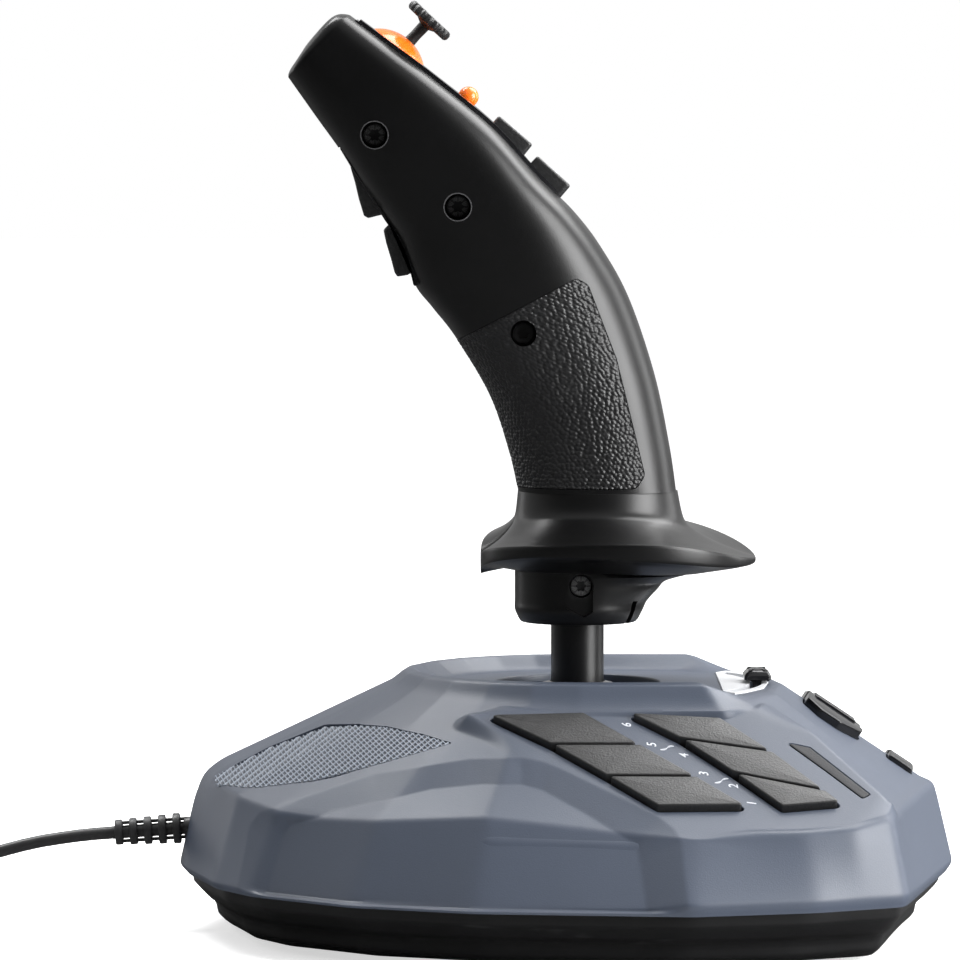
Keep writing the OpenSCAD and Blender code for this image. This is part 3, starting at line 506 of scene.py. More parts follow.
def plug_pieces():
    neck_r = 2.35 + 0.25 * np.sin(np.linspace(0, 4 * math.pi, 24))
    neck = tube([[x, 0, 0] for x in np.linspace(0, 4.6, 24)], neck_r, 32)
    grip = along_x(rectangle(-4.4, 4.4, -7.5, 7.5, 2.2), [
        (4, 1.2), (4.3, 0.6), (5, 0.15), (7, 0.0), (21, 0.0), (23.3, 0.2), (23.9, 0.7), (24, 1.2)])
    rib = block(rectangle(-0.5, 0.5, -4.5, 4.5, 0.45), 4.2, 4.4, 0.15)
    ribs = [place(rib, None, [x, 0, 0]) for x in (8, 10, 12, 14, 16)]
    housing = place(merge(neck, grip, *ribs), None, PLUG_AT)
    housing = piece("plug_housing", housing, JACKET, "base", ["usb_plug"])
    shell = along_x(rectangle(-2.25, 2.25, -6, 6, 0.5), [(23.5, 0), (37, 0), (37, 0.35), (28, 0.35)])
    metal = to_object("plug_shell", place(shell, None, PLUG_AT))
    hole = block(rectangle(-1.1, 1.1, -1.1, 1.1), 1.2, 3, 0.01)
    carve(metal, *[place(hole, None, PLUG_AT + [31.5, y, 0]) for y in (-2.9, 2.9)])
    finish_piece(metal, STEEL, "base")
    tongue = block(rectangle(-4.5, 4.5, -5.3, 5.3), 0, 1.2, 0.1)
    core = piece("plug_tongue", place(tongue, None, PLUG_AT + [32, 0, -1.7]), PRINT, "base")
    return [housing, metal, core]


plug = plug_pieces()


# ================= base =================

def front_arc(r, pull, z, rise):
    """Points of a level ring from the nose round to the side, drawn in by pull at the side."""
    turns = [(math.cos(math.radians(a)), math.sin(math.radians(a))) for a in range(180, 75, -15)]
    return [[r * c, r * s - pull * s * s, z + rise * abs(c)] for c, s in turns]


# lines along which the cover creases, on its right half, from the nose to the user's end
LIP = [[-107, 0, 18], [-104.5, 15, 18], [-96, 46, 17.8], [-86, 62.5, 17.8], [-60, 84.5, 17.8],
       [-28, 97, 18.2], [28, 103.5, 19.2], [60, 95, 19.2], [83.5, 83, 19.2], [88, 63, 19], [99.5, 9, 18.6],
       [101, 0, 18.6]]
SHOULDER = [[-102.6, 0, 36.6], [-100, 16, 36.6], [-91, 44, 36], [-80, 59, 35.5], [-54, 79, 35], [-25, 89, 35],
            [28, 93, 34], [57, 90, 34], [70, 86.5, 34.5], [80.5, 80, 35], [84, 60, 36], [95, 8, 36.6],
            [96.6, 0, 36.6]]
BROW = [[-96.1, 0, 45.4], [-94, 15, 45], [-85, 40, 43.5], [-74, 54, 42], [-50, 74, 41.6], [-24, 84, 42],
        [28, 88, 37.6], [55, 86, 37.4], [68, 83, 38], [77.5, 77, 38.8], [81, 58, 40.3], [91, 8, 40.8],
        [92.8, 0, 40.6]]
FOOT_LINE = front_arc(50, 3, 64.4, 2.6) + [[36, 46.5, 64.4], [44, 42, 64.8], [52, 24, 65.4], [55, 0, 65.8]]
CREST_OUT = front_arc(46.8, 2.3, 69.6, 0) + [
    [33, 44.2, 69.4], [42.5, 37.5, 66], [50.5, 21, 66], [53.5, 0, 66]]
CREST_IN = front_arc(44, 2, 70.2, 0) + [[31, 41.5, 70.2], [40, 34, 66], [48, 18, 66], [50, 0, 66]]
LEDGE = front_arc(38, 0, 66, 0) + [[29, 35.5, 66], [36, 28, 66], [37.5, 14, 66], [37.5, 0, 66]]
HOLE_R, HOLE_TOP, HOLE_UNDER = 22.0, 66.5, 64.4


def cross_flat(a, b):
    return a[:, 0] * b[:, 1] - a[:, 1] * b[:, 0]


def on_line(line, angles):
    """(radius, z) of a feature line at angles in degrees from 0 to 180."""
    p = np.asarray(line, float)
    bearing = np.degrees(np.arctan2(p[:, 1], p[:, 0]))
    bearing[-1] = 0.0
    k = np.array([max(j for j in range(len(p) - 1) if bearing[j] >= f - 1e-9) for f in angles])
    a, c = p[k], p[k + 1]
    d = np.stack([np.cos(np.radians(angles)), np.sin(np.radians(angles))], 1)
    s = cross_flat(a, d) / cross_flat(a - c, d)
    m = a + s[:, None] * (c - a)
    return np.stack([np.hypot(m[:, 0], m[:, 1]), m[:, 2]], 1)


def full_line(line, count, soften):
    """A feature line all the way round, with its corners softened over about `soften` degrees."""
    angles = np.arange(count) * 360 / count
    folded = np.where(angles > 180, 360 - angles, angles)
    values = on_line(line, folded)
    width = soften * count / 360
    reach = int(width * 3)
    kernel = np.exp(-0.5 * (np.arange(-reach, reach + 1) / width) ** 2)
    kernel /= kernel.sum()
    padded = np.concatenate([values[-reach:], values, values[:reach]])
    return np.stack([np.convolve(padded[:, c], kernel, "valid") for c in (0, 1)], 1)


ARC_STEPS = 5


def rounded_sections(corners, radii, spans, arc_steps=ARC_STEPS):
    """Levels through corner rings from the lip inwards: straight runs split by spans, corners rounded."""
    out = [corners[0]]
    for i in range(1, len(corners)):
        p, c = corners[i - 1], corners[i]
        start = out[-1]
        if i < len(corners) - 1:
            nxt = corners[i + 1]
            la = np.linalg.norm(c - p, axis=1, keepdims=True)
            lb = np.linalg.norm(nxt - c, axis=1, keepdims=True)
            t = np.minimum(radii[i], 0.45 * np.minimum(la, lb))
            end, leave = c + (p - c) / la * t, c + (nxt - c) / lb * t
        else:
            end = leave = c
        for k in range(1, spans[i - 1] + 1):
            out.append(start + (end - start) * k / spans[i - 1])
        if i < len(corners) - 1:
            for k in range(1, arc_steps + 1):
                q = k / arc_steps
                out.append((1 - q) ** 2 * end + 2 * q * (1 - q) * c + q * q * leave)
    return out


ROUND = 960
PANEL_AT = np.array([STICK_X + 17, -46, 63.7])
PANEL_TURN = rotation(("Z", 4.5), ("X", 31.8)) @ np.diag([1, -1, 1])
PANEL_AREA = [[-46, 2], [-16, 0.5], [20, 2.2], [44, 12.5], [58, 37], [50, 46.5], [-3, 46.5]]
LEAF_OUT = [[-87, 0], [-86.5, 17], [-84.5, 27.3], [-83.4, 33.6], [-80.5, 37.2], [-76, 39.2], [-50.6, 47.8],
            [-36, 50.6], [-25.4, 52.3], [-12.5, 52.9], [-7, 52], [-2, 50.2], [22.2, 39.9], [26.4, 37],
            [28.2, 34.2], [30, 16], [30.4, 0]]
LEAF_IN = [[-79.5, 0], [-78.5, 17], [-75.6, 27.2], [-74, 33.6], [-72.4, 36], [-56.6, 41], [-36.1, 46],
           [-22.7, 47.6], [-12.4, 47.7], [-7, 46.4], [4.1, 41.1], [16.7, 34.3], [17.8, 27.4], [19.4, 16],
           [20, 0]]
LEAF_DEPTH = 2.6


def around_stick(level):
    """Turns one (radius, z) pair for each bearing into points about the stick's axis."""
    angles = np.arange(len(level)) * 2 * math.pi / len(level)
    r, z = level.T
    return np.column_stack([STICK_X + r * np.cos(angles), r * np.sin(angles), z])


def meeting_line(lip, shoulder, brow, foot):
    """Where the wall and the deck would meet if both ran on past the shoulder."""
    rise, edge, fall = shoulder - lip, brow - shoulder, foot - brow
    return shoulder + rise * (cross_flat(edge, fall) / cross_flat(rise, fall))[:, None]


def cover_levels(count):
    """Levels of the cover's closed section, and where the wall and the deck end among them."""
    lip = full_line(LIP, count, 1.0)
    shoulder, brow, foot, crest_out, crest_in, ledge = (
        full_line(line, count, 0.8) for line in (SHOULDER, BROW, FOOT_LINE, CREST_OUT, CREST_IN, LEDGE))
    folded = np.degrees(np.arccos(np.cos(np.arange(count) * 2 * math.pi / count)))[:, None]
    # the shoulder is a sharp edge along the sides, and round at the nose and at the user's end
    crisp = smooth_step((folded - 62) / 10) * smooth_step((172 - folded) / 10)
    mid = (shoulder + brow) / 2 + [1.2, 0.8]
    mid = mid + (meeting_line(lip, shoulder, brow, foot) - mid) * crisp

    def level(radius, z):
        return np.column_stack([np.full(count, radius), np.full(count, z)])

    corners = [
        level(lip[:, 0] - 1.2, SEAM_Z), level(lip[:, 0] - 0.3, (lip[:, 1] + SEAM_Z) / 2),
        lip, shoulder + np.array([0.5, -1.5]) * (1 - crisp), mid, brow, foot, crest_out, crest_in, ledge,
        level(HOLE_R, HOLE_TOP), level(HOLE_R, HOLE_UNDER),
        ledge - [0, 2.6], foot - [1, 3], brow - [2.6, 2], shoulder - [2.6, 1], level(lip[:, 0] - 4.5, SEAM_Z),
    ]
    radii = [0, 0.8, 1.2, 2.6 - 0.6 * crisp, 2.8 - 1.7 * crisp, 3.2 - 1.2 * crisp, 3.2, 0.7, 0.7, 1.6,
             0.5, 0.3, 1, 1, 1, 1, 0]
    spans = [1, 1, 20, 2, 2, 84, 2, 2, 3, 6, 1, 2, 2, 2, 2, 1]
    wall_end = 1 + sum(spans[:3]) + 3 * ARC_STEPS
    deck_end = 1 + sum(spans[:6]) + 5 * ARC_STEPS
    return rounded_sections(corners, radii, spans), wall_end, deck_end


def flattened(points, row, wall_end, deck_end):
    """Brings the deck round the keys into the plane of the panel."""
    local = (points - PANEL_AT) @ PANEL_TURN
    # full strength inside the panel's area, fading out over 5 to 15 mm round it and off the deck
    gap = polygon_distance(local[:, :2], PANEL_AREA)
    near = 1 - smooth_step((np.abs(local[:, 2]) - 4) / 4)
    on_deck = smooth_step((deck_end - 1 - row) / 3) * smooth_step((row - wall_end) / 8)
    reach = 5 + 10 * smooth_step((local[:, 0] + 44) / 24)
    local[:, 2] *= 1 - (1 - smooth_step((gap + 0.5) / reach)) * near * on_deck
    return local @ PANEL_TURN.T + PANEL_AT


def leaf_set_back(points):
    """Sets back the leaf-shaped facet and the wall under it, on a ramp between its two outlines."""
    d_out, d_in = (polygon_distance(points[:, [0, 2]], leaf) for leaf in (LEAF_OUT, LEAF_IN))
    ramp = np.where(d_in <= 0, 1.0, np.where(d_out >= 0, 0.0, -d_out / np.maximum(d_in - d_out, 1e-6)))
    ramp = np.clip(ramp * 1.04 - 0.02, 0, 1)
    fade = smooth_step((points[:, 2] - SEAM_Z - 0.3) / 2.5)
    return points + np.array([0.0, 1.0, -0.54]) * (ramp * LEAF_DEPTH * fade)[:, None]


def cover_shape():
    levels, wall_end, deck_end = cover_levels(ROUND)
    grid = np.stack([around_stick(level) for level in levels])
    deck = grid[:deck_end].reshape(-1, 3).copy()
    # the facets are worked out on the near side, where y is negative, and mirrored to the other
    side = np.column_stack([np.ones(len(deck)), -np.sign(deck[:, 1]), np.ones(len(deck))])
    near_side = flattened(deck * side, np.repeat(np.arange(deck_end), ROUND), wall_end, deck_end)
    grid[:deck_end] = (leaf_set_back(near_side) * side).reshape(deck_end, ROUND, 3)
    return skin(list(grid), joined=True)


# edges between the keys: each row gives a point on the column's left edge and one on its right
FRONT_ROWS = [[-41.5, 4.2, -16.7, 3.6], [-26, 17.1, -3, 17.4], [-12.7, 30.5, 10.3, 31],
              [-0.4, 43.4, 22.1, 43.4]]
REAR_ROWS = [[-4.9, 3.8, 18.8, 6.2], [7.8, 15.1, 31.1, 20.9], [20.2, 29.6, 43.1, 37.4],
             [31.5, 44.1, 46.6, 42.3]]
KEY_GAP, KEY_DEPTH, KEY_PROUD = 0.4, 5.2, 1.8
BAR_OUTLINE = [[35.5, 15.2], [41.5, 17.4], [54.9, 37.3], [52.7, 38.9], [44.6, 27.5]]
CRUISE_OUTLINE = [[3.5, 0.9], [18, 0.9], [21, 5], [20.5, 9], [14, 13.6], [8, 13.6], [3.5, 9]]
REAR_OUTLINE = rectangle(30.4, 38, 0.9, 6.9)
REAR_AT = np.array([STICK_X + 58, 0, 63.9])
REAR_TURN = rotation(("Y", 33.5), ("X", -7.5))
PLATE_OUTLINE = [[38, -28], [41, -33], [44, -29], [49.4, -17], [51.4, 0], [49.4, 17], [44, 29], [41, 33],
                 [38, 28]]


def window(rows):
    return [[r[0], r[1]] for r in rows] + [[r[2], r[3]] for r in rows[::-1]]


def chamfered_cutter(outline, depth, chamfer, radius, grow=0.0):
    levels = [(0.0, -depth), (0.0, -chamfer), (-chamfer, 0.0), (-chamfer * 1.2, 6.0)]
    return stack(inset(round_corners(outline, radius), -grow), levels)


def on_panel(shape, side=-1):
    return on_side(place(shape, PANEL_TURN, PANEL_AT), -side)


def on_rear(shape, side=1):
    return on_side(place(shape, REAR_TURN, REAR_AT), side)


def lever_slot():
    """The slot's arc round the stick, from 34 degrees on one side to 34 on the other."""
    a = sweep(-34, 34, 24)
    ends = [np.stack([r * np.cos(a), r * np.sin(a)], 1) for r in (49.7, 46.3)]
    return np.concatenate([ends[0], ends[1][::-1]])


# ---------- knurled inlays on the front deck ----------

KNURL_TOP = [[-93.9, 42.8], [-79.1, 50.2], [-64.2, 56.2], [-56, 57.6], [-47.9, 57.9], [-38.8, 57],
             [-31.2, 55.6]]
KNURL_LOW = [[-92.9, 41.5], [-80.7, 42.6], [-66.6, 45.2], [-49.2, 50.0], [-31.2, 55.3]]
KNURL_CENTRE = [-62.0, 50.0]
KNURL_ANGLES = np.linspace(95, 179.9, 240)
KNURL_BROW = on_line(BROW, KNURL_ANGLES)
KNURL_FOOT = on_line(FOOT_LINE, KNURL_ANGLES)


def deck_points(x, z, rise):
    """Points of the deck on the +Y side at given x and z, lifted along the deck's normal."""
    x, z, rise = (np.asarray(v, float) for v in (x, z, rise))
    q = (z[:, None] - KNURL_BROW[None, :, 1]) / (KNURL_FOOT[:, 1] - KNURL_BROW[:, 1])[None]
    r = KNURL_BROW[None, :, 0] + (KNURL_FOOT[:, 0] - KNURL_BROW[:, 0])[None] * q
    xs = STICK_X + r * np.cos(np.radians(KNURL_ANGLES))[None]
    k = np.clip((xs > x[:, None]).sum(1), 1, len(KNURL_ANGLES) - 1)
    i = np.arange(len(x))
    share = (xs[i, k - 1] - x) / (xs[i, k - 1] - xs[i, k])
    angle = KNURL_ANGLES[k - 1] + (KNURL_ANGLES[k] - KNURL_ANGLES[k - 1]) * share
    y = (r[i, k - 1] + (r[i, k] - r[i, k - 1]) * share) * np.sin(np.radians(angle))
    heading = unit(np.stack([x - STICK_X, y], 1))
    normal = unit(np.column_stack([heading * 0.42, np.full(len(x), 0.9)]))
    return np.stack([x, y, z], 1) + normal * rise[:, None]


def knurl_slab(grow, low, high, across, up, textured):
    """Slab that follows the deck between the inlay's lower and upper edges."""
    a, b = np.linspace(0, 1, across), np.linspace(0, 1, up)

    def along(line):
        line = np.array(line)
        s = np.concatenate([[0], np.cumsum(np.linalg.norm(np.diff(line, axis=0), axis=1))])
        return np.stack([np.interp(a * s[-1], s, line[:, c]) for c in (0, 1)], 1)

    top, bottom = along(KNURL_TOP), along(KNURL_LOW)
    flat = bottom[:, None] + (top - bottom)[:, None] * b[None, :, None]
    if grow:
        away = flat - np.array(KNURL_CENTRE)
        flat = flat + away / np.maximum(np.linalg.norm(away, axis=2, keepdims=True), 1e-6) * grow
    x, z = flat[..., 0].ravel(), flat[..., 1].ravel()
    ridge = np.ones(len(x))
    if textured:
        p, q = x / 1.6 + z / 1.15, x / 1.6 - z / 1.15
        line = np.minimum(np.abs(p - np.round(p)), np.abs(q - np.round(q)))
        ridge = 1 - smooth_step((line - 0.08) / 0.16)
    upper = deck_points(x, z, high - 0.4 * (1 - ridge))
    points = np.concatenate([upper, deck_points(x, z, np.full(len(x), low))])
    count, faces = across * up, []
    for i in range(across - 1):
        for j in range(up - 1):
            k = i * up + j
            faces.append([k, k + 1, k + up + 1, k + up])
            faces.append([count + k, count + k + up, count + k + up + 1, count + k + 1])
    rim = [i * up for i in range(across)] + [(across - 1) * up + j for j in range(1, up)]
    rim += [i * up + up - 1 for i in range(across - 2, -1, -1)] + [j for j in range(up - 2, 0, -1)]
    faces += [[p, q, count + q, count + p] for p, q in zip(rim, rim[1:] + rim[:1])]
    return (points, faces), np.tile(ridge, 2)


# ---------- cover ----------

cover = to_object("cover", cover_shape())
for side, word in SIDES:
    for rows in (FRONT_ROWS, REAR_ROWS):
        carve(cover, on_panel(chamfered_cutter(window(rows), 12, 0.2, 0.9, KEY_GAP), side))
    carve(cover, on_panel(chamfered_cutter(BAR_OUTLINE, 1.0, 0.3, 0.6), side))
    for outline in (CRUISE_OUTLINE, REAR_OUTLINE):
        carve(cover, on_rear(prism(inset(round_corners(outline, 1.0), -KEY_GAP), -8, 8), side))
    carve(cover, on_side(knurl_slab(0.45, -0.7, 3.0, 60, 12, False)[0], side))
carve(cover, on_stick(prism(PLATE_OUTLINE, 64.8, 69)))
carve(cover, on_stick(prism(lever_slot(), 58, 70)))
carve(cover, place(rod(3.0, -6, 6, 32), ALONG_X, RELIEF_FROM))
finish_piece(cover, SLATE, "base", ["base_cover"], 24)

for side, word in SIDES:
    across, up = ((520, 100))
    slab, ridge = knurl_slab(0.0, -0.6, 0.12, across, up, True)
    tread = piece("tread_" + word, on_side(slab, side), TREAD, "base", angle=50)
    tread.data.attributes.new("ridge", "FLOAT", "POINT").data.foreach_set("value", ridge.tolist())


def pan_shape(count=360):
    """The pan's section turned about the stick, each of its points set in from the cover's lip."""
    lip = full_line(LIP, count, 1.0)
    profile = [(-26, 2), (-12.5, 2.3), (-10.2, 4), (-9.7, 6.5), (-9, 7.9), (-6.7, 9.6), (-4.4, 12),
               (-3.6, 13), (-3.2, 16), (-6, 16), (-8.6, 11.5), (-12.4, 7.2), (-26, 4.5)]
    corners = [at_height(lip[:, :1] + d, float(z)) for d, z in profile]
    radii = [0, 0.8, 0.8, 0.5, 0.5, 0.4, 0.3, 0.4, 0.2, 0.3, 0.5, 1, 0]
    return skin([around_stick(level) for level in rounded_sections(corners, radii, [2] * 12, 4)])


FOOT_PLACES = [(x, s * y) for x, y in ((-65, 33), (-11, 62), (60, 50)) for s in (-1, 1)]
SCREW_PLACES = [(x, s * y) for x, y in ((-72, 22), (-38, 62), (14, 76), (66, 34)) for s in (-1, 1)]
foot = revolve([(0, 0), (4.4, 0), (5.0, 0.25), (5.3, 0.8), (5.3, 2.6), (0, 2.6)], 48)
pan = to_object("pan", pan_shape())
carve(pan, *[place(rod(5.5, -1, 2.8), None, [x, y, 0]) for x, y in FOOT_PLACES])
carve(pan, *[place(rod(3.2, -1, 3.2, 32), None, [x, y, 0]) for x, y in SCREW_PLACES])
finish_piece(pan, PAN, "base", ["base_pan"], 28)
piece("feet", merge(*[place(foot, None, [x, y, 0]) for x, y in FOOT_PLACES]), FOOT, "base",
      ["rubber_feet"])


# ---------- keys ----------

def down_from(a, b, g):
    """Point g further down the panel from a, on the way to b."""
    a, b = np.asarray(a, float), np.asarray(b, float)
    return a + (b - a) * g / abs(b[1] - a[1])


def key_outline(p, q):
    left, right, g = (p[:2], q[:2]), (p[2:], q[2:]), KEY_GAP / 2
    return [down_from(left[0], left[1], g), down_from(right[0], right[1], g),
            down_from(right[1], right[0], g), down_from(left[1], left[0], g)]


for side, word in SIDES:
    for index in range(1, 7):
        rows = REAR_ROWS if index % 2 else FRONT_ROWS
        row = 2 - (index - 1) // 2
        outline = round_corners(key_outline(rows[row], rows[row + 1]), 0.9)
        cap = block(outline, -KEY_DEPTH, KEY_PROUD, 0.5, draft=0.06)
        name = f"{word}_button_{index}"
        piece(f"{word}_key_{index}", on_panel(cap, side), KEY, name, [name], 40)

rail = block(round_corners([[5.0, 1.6], [17.6, 1.6], [18.6, 3.4], [6.0, 3.4]], 0.6), 2.4, 3.1, 0.35)
cruise_cap = merge(block(round_corners(CRUISE_OUTLINE, 1.0), -4, 2.6, 0.5), rail)
rear_cap = block(round_corners(REAR_OUTLINE, 1.0), -3, 1.4, 0.5)
for side, word in SIDES:
    for kind, cap in (("cruise", cruise_cap), ("rear", rear_cap)):
        name = f"{kind}_key_{word}"
        piece(f"{kind}_cap_{word}", on_rear(cap, side), GLOSS, name, [name], 40)


# ---------- label strips, light bars ----------

DIGIT_PLACES = [(24.0, 40.8), (20.0, 33.6), (12.8, 28.3), (8.4, 20.6), (0.4, 15.9), (-5.4, 7.4)]


def digit_shape(text):
    curve = bpy.data.curves.new("digit", "FONT")
    curve.body = text
    curve.size = 3.4
    curve.shear = 0.25
    curve.offset = 0.03
    curve.extrude = 0.04
    curve.align_x = curve.align_y = "CENTER"
    obj = linked("digit", curve)
    shape = shape_of(evaluated_mesh(obj))
    bpy.data.objects.remove(obj)
    return shape


def numeral(index, side):
    """Key number on the strip. The right side is a mirror image, so its numerals are drawn reversed."""
    points, faces = digit_shape(str(index + (1 if side < 0 else 7)))
    turn = np.array([[0, -1, 0], [side, 0, 0], [0, 0, -side]])
    flat = place((points * [1, 1, -side], faces), turn, [*DIGIT_PLACES[index], -0.05 * side])
    return on_panel(flat, side)


def wave_mark(start, end):
    t = np.linspace(0, 1, 24)[:, None]
    sway = 0.45 * np.sin(t * 2 * math.pi)
    middle = np.array(start) + (np.array(end) - start) * t + sway * [0.4, 1]
    return prism(np.concatenate([middle + [0, 0.16], middle[::-1] - [0, 0.16]]), 0.02, 0.1)


for side, word in SIDES:
    piece("numerals_" + word, merge(*[numeral(i, side) for i in range(6)]), PRINT, "base")
    waves = merge(wave_mark((2.4, 17.9), (6.0, 16.5)), wave_mark((15.2, 32.0), (18.9, 30.3)))
    piece("strip_marks_" + word, on_panel(waves, side), PRINT, "base")
    lens = block(round_corners(inset(round_corners(BAR_OUTLINE, 0.6, 3), 0.1), 0.4, 3), -0.95, 0.05, 0.2)
    piece("lens_" + word, on_panel(lens, side), LENS, "base", ["light_bars"])


# ---------- throttle ----------

plate = block(round_corners(inset(PLATE_OUTLINE, 0.12), 0.6), 64.8, 66.35, 0.2)
plate = carve(to_object("track_plate", on_stick(plate)), on_stick(prism(lever_slot(), 60, 70)))
finish_piece(plate, SILVER, "base", ["throttle_track"])

ring = revolve([(36.3, 49.8), (41, 49.8), (41, 52.8), (36.3, 52.8)])
arm = block(rectangle(37, 49.8, -4, 4), 49.8, 52.8, 0.1)
stem = block(rectangle(46.8, 49.2, -4, 4), 49.8, 67.2, 0.1)
knob = stack(rectangle(44.6, 51.8, -6, 6, 1.2), [
    (0.6, 66.9), (0.0, 67.3), (0.0, 68.4), (0.5, 69.1), (1.6, 69.8), (2.2, 70.0)])
piece("throttle_tab", on_stick(merge(ring, arm, stem, knob)), GLOSS, "throttle_lever",
      ["throttle_lever"], 35)


# ================= stick =================

PIVOT_Z = 34.0
SHAFT_R = 7.1


on_ball = math.asin(7.4 / 33.5), math.asin(7.4 / 32), math.radians(66)
bell = arc(33.5, np.linspace(on_ball[0], on_ball[2], 40), PIVOT_Z)
bell += arc(32, np.linspace(on_ball[2], on_ball[1], 40), PIVOT_Z)
sleeve = [(r, PIVOT_Z + z) for r, z in ((7.4, 10), (9.4, 10), (9.4, 32.2), (7.4, 32.2))]
piece("boot_dome", on_stick(merge(revolve(bell), revolve(sleeve))), GLOSS, "gimbal_block",
      ["dust_cap"], 35)
shaft_profile = [(0, 24.4), (8, 24.4), (8, 27.7), (5, 27.7), (5, 44.3), (6.7, 44.3), (SHAFT_R, 44.7),
                 (SHAFT_R, 131.6), (6.7, 132), (0, 132)]
piece("shaft", on_stick(revolve(shaft_profile)), SHELL, "stick", ["stick_shaft"], 35)


def shaft_bore(z0, z1):
    return on_stick(rod(SHAFT_R + 0.05, z0, z1, 64))


def side_prism(outline, y0, y1):
    """Prism along Y from an outline in the XZ plane, x about the stick axis."""
    o = np.asarray(outline, float)
    return skin([np.column_stack([STICK_X + o[:, 0], np.full(len(o), y), o[:, 1]]) for y in (y0, y1)])


# height of each level, how far it reaches towards the user, and its radius elsewhere
HUB_LEVELS = [[82.7, 15.4, 14.9], [82.8, 15.7, 15.2], [83.6, 16.4, 15.8], [86, 17.6, 16.8],
              [88.3, 18.7, 16.8], [91.5, 21.6, 16.8], [93.7, 23.8, 16.8], [95.4, 30, 16.8], [97, 16.8, 16.8]]
HUB_SCREW = (0.7, 93.2)


def hub_piece():
    c, s = circle(1.0, 144).T[:2]
    levels = HUB_LEVELS[:3] + catmull(HUB_LEVELS[2:8], 36)[1:].tolist() + HUB_LEVELS[8:]
    rings = [np.column_stack([np.maximum(c, 0) * reach + np.minimum(c, 0) * r, r * s, np.full(144, z)])
             for z, reach, r in levels]
    body = to_object("collar", on_stick(skin(rings)))
    carve(body, shaft_bore(80, 100))
    x, z = HUB_SCREW
    carve(body, *[across_stick(cutter, x, 0, z) for cutter in (rod(3.1, 13, 20.5), rod(3.45, 15.4, 20.4))])
    carve(body, side_prism([[-3.1, 93.2], [-3.1, 87.3], [1.6, 84.9], [3.9, 86.4], [3.9, 93.2]], -20.4, -15.4))
    carve(body, across_stick(rod(1.5, 0, 14, 24), x, 0, z))
    carve(body, place(prism(rectangle(6, 26, -1, 1), 82, 88.8), rotation(("Z", -33)), [STICK_X, 0, 0]))
    finish_piece(body, SHELL, "stick", ["hub"], 30)


hub_piece()


def screw_head(r, height, recess, depth=0.9):
    """Pan head with a six-lobed recess, its top at z = height."""
    head = to_object("head", revolve([(0, 0), (r, 0), (r, height - 0.5), (r - 0.15, height - 0.2),
                                      (r - 0.5, height), (0, height)], 64))
    a = np.arange(96) * 2 * math.pi / 96
    lobes = recess * (0.86 + 0.14 * np.cos(6 * a))
    carve(head, prism(np.stack([lobes * np.cos(a), lobes * np.sin(a)], 1), height - depth, height + 1))
    points, faces = shape_of(head.data)
    bpy.data.objects.remove(head)
    return points / MM, faces


hub_screw = merge(screw_head(2.9, 1.6, 1.5), rod(1.5, -5.4, 0.1, 24))
piece("collar_screw", across_stick(hub_screw, HUB_SCREW[0], -13, HUB_SCREW[1]), SCREW, "stick",
      ["hub_screw"])


def rest_shape(n=200):
    t = np.arange(n) * 2 * math.pi / n
    c, w = np.cos(t), np.sin(t)
    near_side = 5.6 * np.maximum(-w, 0) ** np.clip(1.3 + 1.3 * c, 0.5, 3)
    far_side = 9.6 * np.maximum(w, 0) ** np.clip(1.2 + 1.2 * c, 0.45, 1.5)
    brim_z = 100 + 0.3 * c + np.where(w < 0, near_side, far_side)
    edge = 3.6 - 0.43 * c - 0.7 * np.cos(2 * t) - 0.87 * np.cos(3 * t)
    low = 97 - 1.2 * np.maximum(c, 0)
    neck = np.stack([5.4 + 21.4 * c, 17.2 * w], 1)
    brim = np.stack([10.9 + 36.9 * c, 34 * w], 1)

    def ring(k, z):
        p = neck + (brim - neck) * k
        return np.column_stack([STICK_X + p[:, 0], p[:, 1], z])

    rings = [np.column_stack([STICK_X + 2 + 15 * c, 15 * w, np.full(n, 97.0)])]
    for k, share in catmull([[0.3, 0], [0.6, 0.4], [0.85, 0.75], [0.985, 1]], 16):
        rings.append(ring(k, low + (brim_z - edge - low) * share))
    rings += [ring(0.9925, brim_z - edge * 0.93), ring(0.997, brim_z - edge * 0.8), ring(1.0, brim_z - 0.9),
              ring(0.9985, brim_z - 0.4), ring(0.993, brim_z - 0.08), ring(0.985, brim_z)]
    drops = catmull([[0.985, 1.0], [0.8, 0.93], [0.5, 0.79], [0.22, 0.6], [0.08, 0.42], [0.0, 0.0]], 44)
    rings += [ring(max(k, 0.0), 117.8 + (brim_z - 117.8) * d) for k, d in drops[1:]]
    return skin(rings)


rest = to_object("palm_rest", rest_shape())
carve(rest, shaft_bore(90, 130))
finish_piece(rest, SHELL, "stick", ["hand_rest"], 34)


# ================= grip =================

